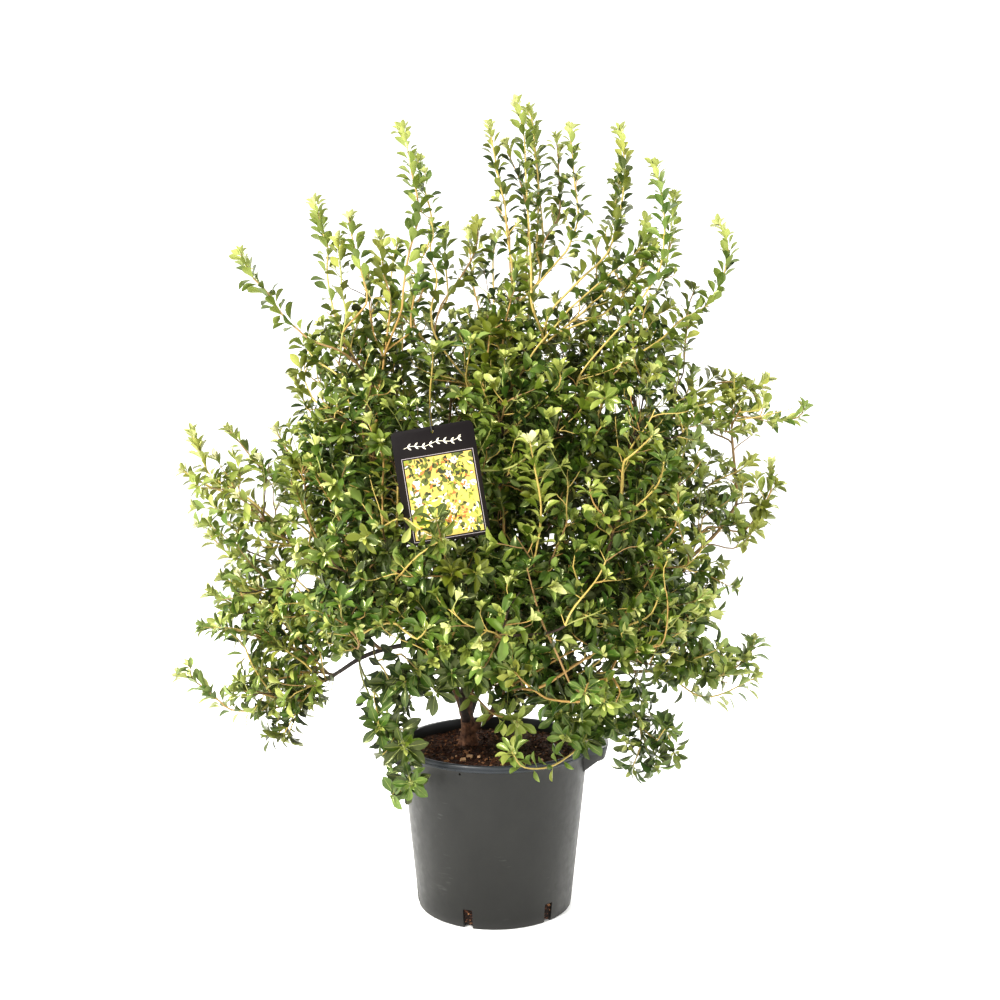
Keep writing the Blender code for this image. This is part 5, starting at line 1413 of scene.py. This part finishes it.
soil_steps = 168
bm = bmesh.new()
edge_r = wall_r(SOIL_TOP - SOIL_EDGE_DROP) - POT_WALL - 0.0006
middle = bm.verts.new((0, 0, soil_height(0, 0)))
rings = []
for r in np.linspace(0.0, edge_r, 58)[1:]:
    rings.append([bm.verts.new((r * math.cos(2 * math.pi * j / soil_steps), r * math.sin(2 * math.pi * j / soil_steps), soil_height(r * math.cos(2 * math.pi * j / soil_steps), r * math.sin(2 * math.pi * j / soil_steps)))) for j in range(soil_steps)])
for r, z in ((wall_r(0.15) - POT_WALL - 0.0008, 0.15), (wall_r(0.040) - POT_WALL - 0.0010, 0.040), (wall_r(0.010) - POT_WALL - 0.0010, 0.0095), (POT_BASE_R - POT_WALL - 0.006, POT_WALL + 0.0003)):
    rings.append([bm.verts.new((r * math.cos(2 * math.pi * j / soil_steps), r * math.sin(2 * math.pi * j / soil_steps), z)) for j in range(soil_steps)])
for j in range(soil_steps):
    bm.faces.new((middle, rings[0][j], rings[0][(j + 1) % soil_steps]))
for a, b in zip(rings, rings[1:]):
    for j in range(soil_steps):
        k = (j + 1) % soil_steps
        bm.faces.new((a[j], b[j], b[k], a[k]))
bm.faces.new(list(reversed(rings[-1])))
bmesh.ops.recalc_face_normals(bm, faces=bm.faces)
soil = from_bmesh(bm, "soil_fine", soil_mat)
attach(soil, "root")
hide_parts("potting_soil")

chips = [Heap() for _ in chip_mats]


def chip(where, size, heap, flat=0.35):
    """One crumb of bark: an uneven block of eight corners."""
    turn = Matrix.Rotation(rng.uniform(0, 2 * math.pi), 3, "Z") @ Matrix.Rotation(rng.normal() * 0.45, 3, "X") @ Matrix.Rotation(rng.normal() * 0.35, 3, "Y")
    half = np.array((1.0, rng.uniform(0.35, 0.75), flat * rng.uniform(0.6, 1.4))) * size * 0.5
    corners = np.array([(sx, sy, sz) for sz in (-1, 1) for sx, sy in ((-1, -1), (1, -1), (1, 1), (-1, 1))], float)
    corners *= half * rng.uniform(0.55, 1.1, (8, 3))
    v = corners @ np.array(turn).T + where
    heap.add(v, np.zeros((0, 3), int), np.array(((0, 3, 2, 1), (4, 5, 6, 7), (0, 1, 5, 4), (1, 2, 6, 5), (2, 3, 7, 6), (3, 0, 4, 7))))


for _ in range(2300):
    r, a = edge_r * math.sqrt(rng.random()) * 0.985, rng.uniform(0, 2 * math.pi)
    x, y = r * math.cos(a), r * math.sin(a)
    size = rng.uniform(0.0028, 0.0085) * (1.5 if rng.random() < 0.12 else 1.0)
    if r > edge_r - 0.5 * size:
        continue
    kind = int(rng.choice(4, p=(0.52, 0.36, 0.10, 0.02)))
    chip(np.array((x, y, soil_height(x, y) + size * 0.10)), size, chips[kind])
for px, py, size in ((470, 757, 0.019), (463, 761, 0.013), (479, 759, 0.014), (466, 753, 0.011), (486, 762, 0.010), (452, 757, 0.009)):  # the pale pieces of wood at the front
    d = (CAM[2] - SOIL_TOP) * FOCAL_PX / (py - HORIZON_ROW)
    x, y = CAM[0] + (px - 500) * d / FOCAL_PX, CAM[1] + d
    chip(np.array((x, y, soil_height(x, y) + 0.003)), size, chips[3 if size > 0.0125 else 2], flat=0.5)
for k in range(SLOT_COUNT):  # crumbs in the drain slots
    a = math.radians(SLOT_FIRST_DEG + 360.0 * k / SLOT_COUNT)
    for _ in range(26):
        z = rng.uniform(0.004, SLOT_HEIGHT - 0.002)
        r = wall_r(z) - POT_WALL - 0.0012
        b = a + rng.uniform(-0.5, 0.5) * SLOT_WIDTH / r * 0.9
        chip(np.array((r * math.cos(b), r * math.sin(b), z)), rng.uniform(0.0022, 0.0050), chips[int(rng.choice(3, p=(0.5, 0.35, 0.15)))], flat=0.6)
for heap, mat in zip(chips, chip_mats):
    obj = heap.object(mat.name + "s", mat, smooth=False)
    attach(obj, "root")
    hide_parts("potting_soil")

# ------------------------------------------------------------------ trunk and main boughs with bark relief
bark_mat, nt, sh, geo, ramp = blotched("bark", (0.0480, 0.0230, 0.0140), (0.2200, 0.1080, 0.0600), 0.72, 0.92, 90.0, 190.0, 0.0022, specular=0.3, detail=8.0, strength=0.8)
dark_bark, nt, sh, geo, ramp = blotched("bark_dark", (0.0120, 0.0075, 0.0065), (0.0560, 0.0310, 0.0220), 0.74, 0.92, 110.0, 220.0, 0.0016, specular=0.3, detail=8.0, strength=0.8)


def barked(name, path, radii, sides, mat, seed, depth_of=0.10, flare=None):
    """A closed tube whose skin has long cracked ridges and the rings of old leaf scars."""
    n = len(path)
    tang = unit(np.gradient(path, axis=0))
    u = unit(np.cross(tang[0], (0.13, 0.97, 0.21)))
    s = np.concatenate(([0], np.cumsum(np.linalg.norm(np.diff(path, axis=0), axis=1))))
    verts = []
    for k in range(n):
        u = u - tang[k] * (u @ tang[k])
        u = u / np.linalg.norm(u)
        w = np.cross(tang[k], u)
        for j in range(sides):
            a = 2 * math.pi * j / sides
            c, d = math.cos(a), math.sin(a)
            long = noise.noise(Vector((c * 2.6 + seed, d * 2.6, s[k] * 26)))
            crack = abs(noise.noise(Vector((c * 6.0, d * 6.0 + seed, s[k] * 48))))
            grain = noise.noise(Vector((c * 13.0, d * 13.0, s[k] * 210 + seed)))
            scar = math.exp(-((s[k] * 42 + 0.13 * seed) % 1 - 0.5) ** 2 / 0.006) * 0.05
            r = radii[k] * (1 + depth_of * (1.1 * long - 1.3 * crack + 0.35 * grain + 0.35) + scar)
            if flare is not None:
                r += flare(k / (n - 1), a)
            verts.append(path[k] + r * (c * u + d * w))
    verts = np.array(verts)
    k = np.arange(n - 1)[:, None] * sides
    j = np.arange(sides)[None, :]
    quads = np.stack((k + j, k + (j + 1) % sides, k + sides + (j + 1) % sides, k + sides + j), -1).reshape(-1, 4)
    tri = []
    verts = np.vstack((verts, path[0] - tang[0] * radii[0] * 0.2, path[-1] + tang[-1] * radii[-1] * 0.9))
    a0, a1 = n * sides, n * sides + 1
    for q in range(sides):
        tri.append((a0, (q + 1) % sides, q))
        tri.append((a1, (n - 1) * sides + q, (n - 1) * sides + (q + 1) % sides))
    obj = build(name, verts, tri, quads, mat)
    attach(obj, "root")
    return obj


t = np.linspace(0, 1, 64)[:, None]
foot, fork = np.array(TRUNK_FOOT) - np.array((0, 0, 0.006)), np.array(TRUNK_FORK) + np.array((-0.001, 0.0, 0.006))
axis = foot + (fork - foot) * t + np.array((0.0025, 0, 0)) * np.sin(math.pi * t)
trunk = barked("trunk_bark", axis, (0.0150 - 0.0032 * t[:, 0]), 60, bark_mat, 3.1, 0.12, flare=lambda f, a: 0.0062 * (1 - f) ** 4 * (1 + 0.55 * math.cos(4 * a + 0.5)) + 0.0007 * math.cos(3 * a + 5 * f))
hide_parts("trunk")
for k, (name, points, r0, r1) in enumerate(BOUGHS):
    path = catmull(points, 34 * len(points))
    f = np.linspace(0, 1, len(path))
    swell = 1 + 0.35 * np.exp(-(f / 0.05) ** 2)
    obj = barked(name + "_bark", path, (r0 + (r1 - r0) * f) * swell, 26, bark_mat if name in ("bough_left", "bough_centre", "bough_right") else dark_bark, 5.0 + 2.3 * k, 0.11)
    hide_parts(name)

# ------------------------------------------------------------------ plant label: a black card with a white frame and a plain leafy picture
stand = Matrix.Translation(LABEL_CENTRE) @ Matrix.Rotation(math.radians(LABEL_TURN_DEG), 4, "Y") @ Matrix.Rotation(math.radians(90.0 - LABEL_LEAN_DEG), 4, "X")


def card_outline(width, height, radius, steps=8):
    pts = []
    for cx, cy, start in ((1, 1, 0), (-1, 1, 90), (-1, -1, 180), (1, -1, 270)):
        for k in range(steps + 1):
            a = math.radians(start + 90.0 * k / steps)
            pts.append((cx * (width / 2 - radius) + radius * math.cos(a), cy * (height / 2 - radius) + radius * math.sin(a)))
    return pts


card_mat, nt, sh = node_material("label_card", (0.0045, 0.0028, 0.0034), 0.50, specular=0.12)
relief(nt, sh, 45.0, 0.0012, 0.25, 2.0)
card = prism("label_board", card_outline(LABEL_WIDTH, LABEL_HEIGHT, LABEL_CORNER_R), -LABEL_THICK / 2, LABEL_THICK / 2, card_mat, bevel=0.0003)
bm = bmesh.new()
bmesh.ops.create_cone(bm, cap_ends=True, segments=24, radius1=LABEL_HOLE_R, radius2=LABEL_HOLE_R, depth=0.010)
bmesh.ops.translate(bm, vec=(0, LABEL_HEIGHT / 2 - 0.009, 0), verts=bm.verts)
cut(card, from_bmesh(bm, "punch", []))
card.data.transform(stand)
crisp(card, 25.0)
card.data.materials.clear()
card.data.materials.append(card_mat)
for poly in card.data.polygons:
    poly.material_index = 0
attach(card, "root")
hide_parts("plant_label")

FRONT = LABEL_THICK / 2
INKS = {
    "ink_white": (0.76, 0.72, 0.58), "ink_straw": (0.480, 0.360, 0.090), "ink_lemon": (0.620, 0.560, 0.080), "ink_lime": (0.210, 0.230, 0.024),
    "ink_frame": (0.36, 0.32, 0.33),
    "ink_green": (0.072, 0.088, 0.012), "ink_moss": (0.020, 0.026, 0.006), "ink_orange": (0.330, 0.130, 0.030),
}
ink_faces = {k: Heap() for k in INKS}


def ink(name, outline, lift):
    """A flat shape printed on the card, a hair above it."""
    pts = np.array([(x, y, FRONT + lift) for x, y in outline])
    n = len(pts)
    pts = np.vstack((pts, pts.mean(0)))
    tri = [(i, (i + 1) % n, n) for i in range(n)]
    world = np.array([stand @ Vector(p) for p in pts])
    ink_faces[name].add(world, tri, [])


def strip(name, x0, y0, x1, y1, lift):
    ink(name, ((x0, y0), (x1, y0), (x1, y1), (x0, y1)), lift)


FX0, FX1, FY0, FY1 = -0.0590, 0.0640, -0.0930, 0.0500
LW = 0.0008
strip("ink_frame", FX0, FY1 - LW, FX1, FY1, 0.00010)
strip("ink_frame", FX0, FY0, FX1, FY0 + LW, 0.00010)
strip("ink_frame", FX0, FY0, FX0 + LW, FY1, 0.00010)
strip("ink_frame", FX1 - LW, FY0, FX1, FY1, 0.00010)
PX0, PX1, PY0, PY1 = FX0 + 0.0032, FX1 - 0.0032, FY0 + 0.0032, FY1 - 0.0032
strip("ink_straw", PX0, PY0, PX1, PY1, 0.00008)


def clip_to_picture(points):
    return [(min(max(x, PX0), PX1), min(max(y, PY0), PY1)) for x, y in points]


def leaf_shape(cx, cy, length_, half, turn, n=6):
    pts = []
    for side in (1, -1):
        for k in range(n + 1) if side == 1 else range(n - 1, 0, -1):
            u = k / n
            w = half * math.sin(math.pi * u ** 1.15) * side
            pts.append((u * length_ - length_ / 2, w))
    c, d = math.cos(turn), math.sin(turn)
    return clip_to_picture([(cx + x * c - y * d, cy + x * d + y * c) for x, y in pts])


def disc(cx, cy, r, n=9):
    return clip_to_picture([(cx + r * math.cos(2 * math.pi * k / n), cy + r * math.sin(2 * math.pi * k / n)) for k in range(n)])


art = np.random.default_rng(77)
lift = 0.00012
def kind_at(x, y):
    """How high (0 to 1) a point is in the picture, and how far to its right."""
    return (y - PY0) / (PY1 - PY0), (x - PX0) / (PX1 - PX0)


for _ in range(170):
    cx, cy = art.uniform(PX0, PX1), art.uniform(PY0, PY1)
    high, side_ = kind_at(cx, cy)
    sun = 1.0 - high + 0.35 * (side_ - 0.5)
    die = art.random()
    if die < 0.15 + 0.62 * sun:
        tone_name = ("ink_lemon", "ink_white", "ink_straw")[int(art.choice(3, p=(0.50, 0.30, 0.20)))]
    else:
        tone_name = ("ink_green", "ink_lime", "ink_moss", "ink_straw")[int(art.choice(4, p=(0.34, 0.20, 0.18, 0.28)))]
    ink(tone_name, disc(cx, cy, art.uniform(0.003, 0.008), 9), lift)
    lift += 0.000003
for _ in range(430):
    cx, cy = art.uniform(PX0 + 0.003, PX1 - 0.003), art.uniform(PY0 + 0.003, PY1 - 0.003)
    high, side_ = kind_at(cx, cy)
    sun = 1.0 - high + 0.35 * (side_ - 0.5)
    die = art.random()
    if die < 0.20 + 0.50 * sun:
        tone_name = ("ink_lemon", "ink_white", "ink_straw", "ink_orange")[int(art.choice(4, p=(0.30, 0.28, 0.26, 0.16)))]
    else:
        tone_name = ("ink_green", "ink_lime", "ink_moss", "ink_orange")[int(art.choice(4, p=(0.32, 0.14, 0.36, 0.18)))]
    ink(tone_name, leaf_shape(cx, cy, art.uniform(0.005, 0.013), art.uniform(0.0010, 0.0028), art.uniform(0, 6.28)), lift)
    lift += 0.0000015
for cx, cy in ((-0.034, 0.026), (0.030, 0.036), (-0.006, 0.004), (0.044, -0.012), (-0.040, -0.030), (0.014, -0.046), (0.016, 0.014), (-0.016, -0.064), (0.042, -0.070)):
    for k in range(5):
        a = 2 * math.pi * k / 5 + cx * 40
        ink("ink_white", leaf_shape(cx + 0.0034 * math.cos(a), cy + 0.0034 * math.sin(a), 0.0062, 0.0017, a), lift)
    ink("ink_orange", disc(cx, cy, 0.0016, 7), lift + 0.000004)
    lift += 0.000006
# where a heading would be: a thin wavy sprig with small leaves
last = None
for k in range(33):
    x = -0.052 + 0.0031 * k
    y = 0.0668 + 0.0022 * math.sin(k * 0.42) + 0.00012 * k
    if last:
        ink("ink_white", ((last[0], last[1] - 0.00045), (x, y - 0.00045), (x, y + 0.00045), (last[0], last[1] + 0.00045)), 0.00012)
    if k % 4 == 2:
        for sgn in (1, -1):
            c = math.atan2(sgn * 0.9, 1.0)
            ink("ink_white", [(x + u * math.cos(c) * 0.0085 - w * math.sin(c) * 0.0016, y + u * math.sin(c) * 0.0085 + w * math.cos(c) * 0.0016) for u, w in ((0, 0), (0.35, 0.8), (0.7, 0.7), (1, 0), (0.7, -0.7), (0.35, -0.8))], 0.00014)
    last = (x, y)
ink_objects = []
for name, rgb in INKS.items():
    mat, nt, sh = node_material(name, rgb, 0.34, specular=0.4)
    relief(nt, sh, 45.0, 0.0012, 0.2, 2.0)
    obj = ink_faces[name].object("label_" + name, mat, smooth=False)
    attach(obj, "root")
    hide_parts("plant_label")

hole = stand @ Vector((0.0, LABEL_HEIGHT / 2 - 0.009, 0.0))
front = (stand.to_3x3() @ Vector((0, 0, 1))).normalized()
crest = (stand.to_3x3() @ Vector((0, 1, 0))).normalized()
tie_mat, nt, sh = node_material("tie_plastic", (0.022, 0.022, 0.022), 0.45)
relief(nt, sh, 300.0, 0.0003, 0.3, 2.0)
tie_path = [hole + front * 0.0035 - crest * 0.0002, hole + front * 0.0046 + crest * 0.0080, hole + front * 0.0030 + crest * 0.0165,
            hole - front * 0.0120 + crest * 0.0300, hole - front * 0.0400 + crest * 0.0420, hole - front * 0.0900 + crest * 0.0520]
heap = Heap()
heap.add(*tube_arrays(catmull(np.array(tie_path), 44), np.full(44, TIE_R), 12))
tie = heap.object("label_loop", tie_mat)
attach(tie, "root")
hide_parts("label_tie")

# ------------------------------------------------------------------ floor, light, camera
floor_mat, nt, sh = node_material("studio_floor", (0.95, 0.95, 0.94), 0.80, specular=0.1)
bpy.ops.mesh.primitive_plane_add(size=40.0, location=(0, 0, 0))
floor = bpy.context.object
floor.name = "studio_floor"
floor.data.materials.append(floor_mat)
floor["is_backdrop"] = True

world = bpy.data.worlds.new("studio")
bpy.context.scene.world = world
world.use_nodes = True
world.node_tree.nodes["Background"].inputs["Color"].default_value = (1.0, 1.0, 1.0, 1.0)
world.node_tree.nodes["Background"].inputs["Strength"].default_value = 1.38


def area(name, where, aim, size, power, colour=(1, 1, 1)):
    light = bpy.data.lights.new(name, "AREA")
    light.shape = "DISK"
    light.size = size
    light.energy = power
    light.color = colour
    obj = bpy.data.objects.new(name, light)
    bpy.context.scene.collection.objects.link(obj)
    obj.location = where
    obj.rotation_euler = (Vector(aim) - Vector(where)).to_track_quat("-Z", "Y").to_euler()
    return obj


area("key", (-2.6, -3.2, 3.2), (0, 0, 0.8), 1.0, 280.0, (1.0, 0.98, 0.93))
area("fill", (2.8, -2.6, 2.0), (0, 0, 0.7), 2.0, 30.0, (1.0, 0.99, 0.97))
area("side", (-3.2, 0.9, 1.5), (-0.3, 0, 0.75), 1.4, 55.0, (1.0, 0.99, 0.94))
area("back", (0.8, 3.2, 3.0), (0, 0, 0.9), 1.6, 110.0, (1.0, 0.98, 0.94))

camera = bpy.data.cameras.new("camera")
cam = bpy.data.objects.new("camera", camera)
bpy.context.scene.collection.objects.link(cam)
cam.location = CAM
cam.rotation_euler = (math.pi / 2, 0, 0)
camera.sensor_width = 36.0
camera.lens = 36.0 * FOCAL_PX / 1000.0
camera.shift_y = -(500.0 - HORIZON_ROW) / 1000.0
camera.clip_start, camera.clip_end = 0.05, 100.0
camera.dof.use_dof = False
bpy.context.scene.camera = cam
bpy.context.scene.view_settings.view_transform = "Standard"
bpy.context.scene.view_settings.look = "Medium High Contrast"

# a faint veil of light round the bright ground, as a lens gives
bpy.context.scene.use_nodes = True
comp = bpy.context.scene.node_tree
comp.nodes.clear()
layers = comp.nodes.new("CompositorNodeRLayers")
soft = comp.nodes.new("CompositorNodeBlur")
soft.filter_type = "GAUSS"
soft.size_x = soft.size_y = 16
veil = comp.nodes.new("CompositorNodeMixRGB")
veil.blend_type = "SCREEN"
veil.inputs[0].default_value = 0.035
out = comp.nodes.new("CompositorNodeComposite")
comp.links.new(layers.outputs["Image"], soft.inputs["Image"])
comp.links.new(layers.outputs["Image"], veil.inputs[1])
comp.links.new(soft.outputs["Image"], veil.inputs[2])
comp.links.new(veil.outputs["Image"], out.inputs["Image"])

total_faces = 0
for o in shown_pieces():
    total_faces += sum(len(p.vertices) - 2 for p in o.data.polygons) if o.type == "MESH" else 0
print("triangles in all", total_faces)
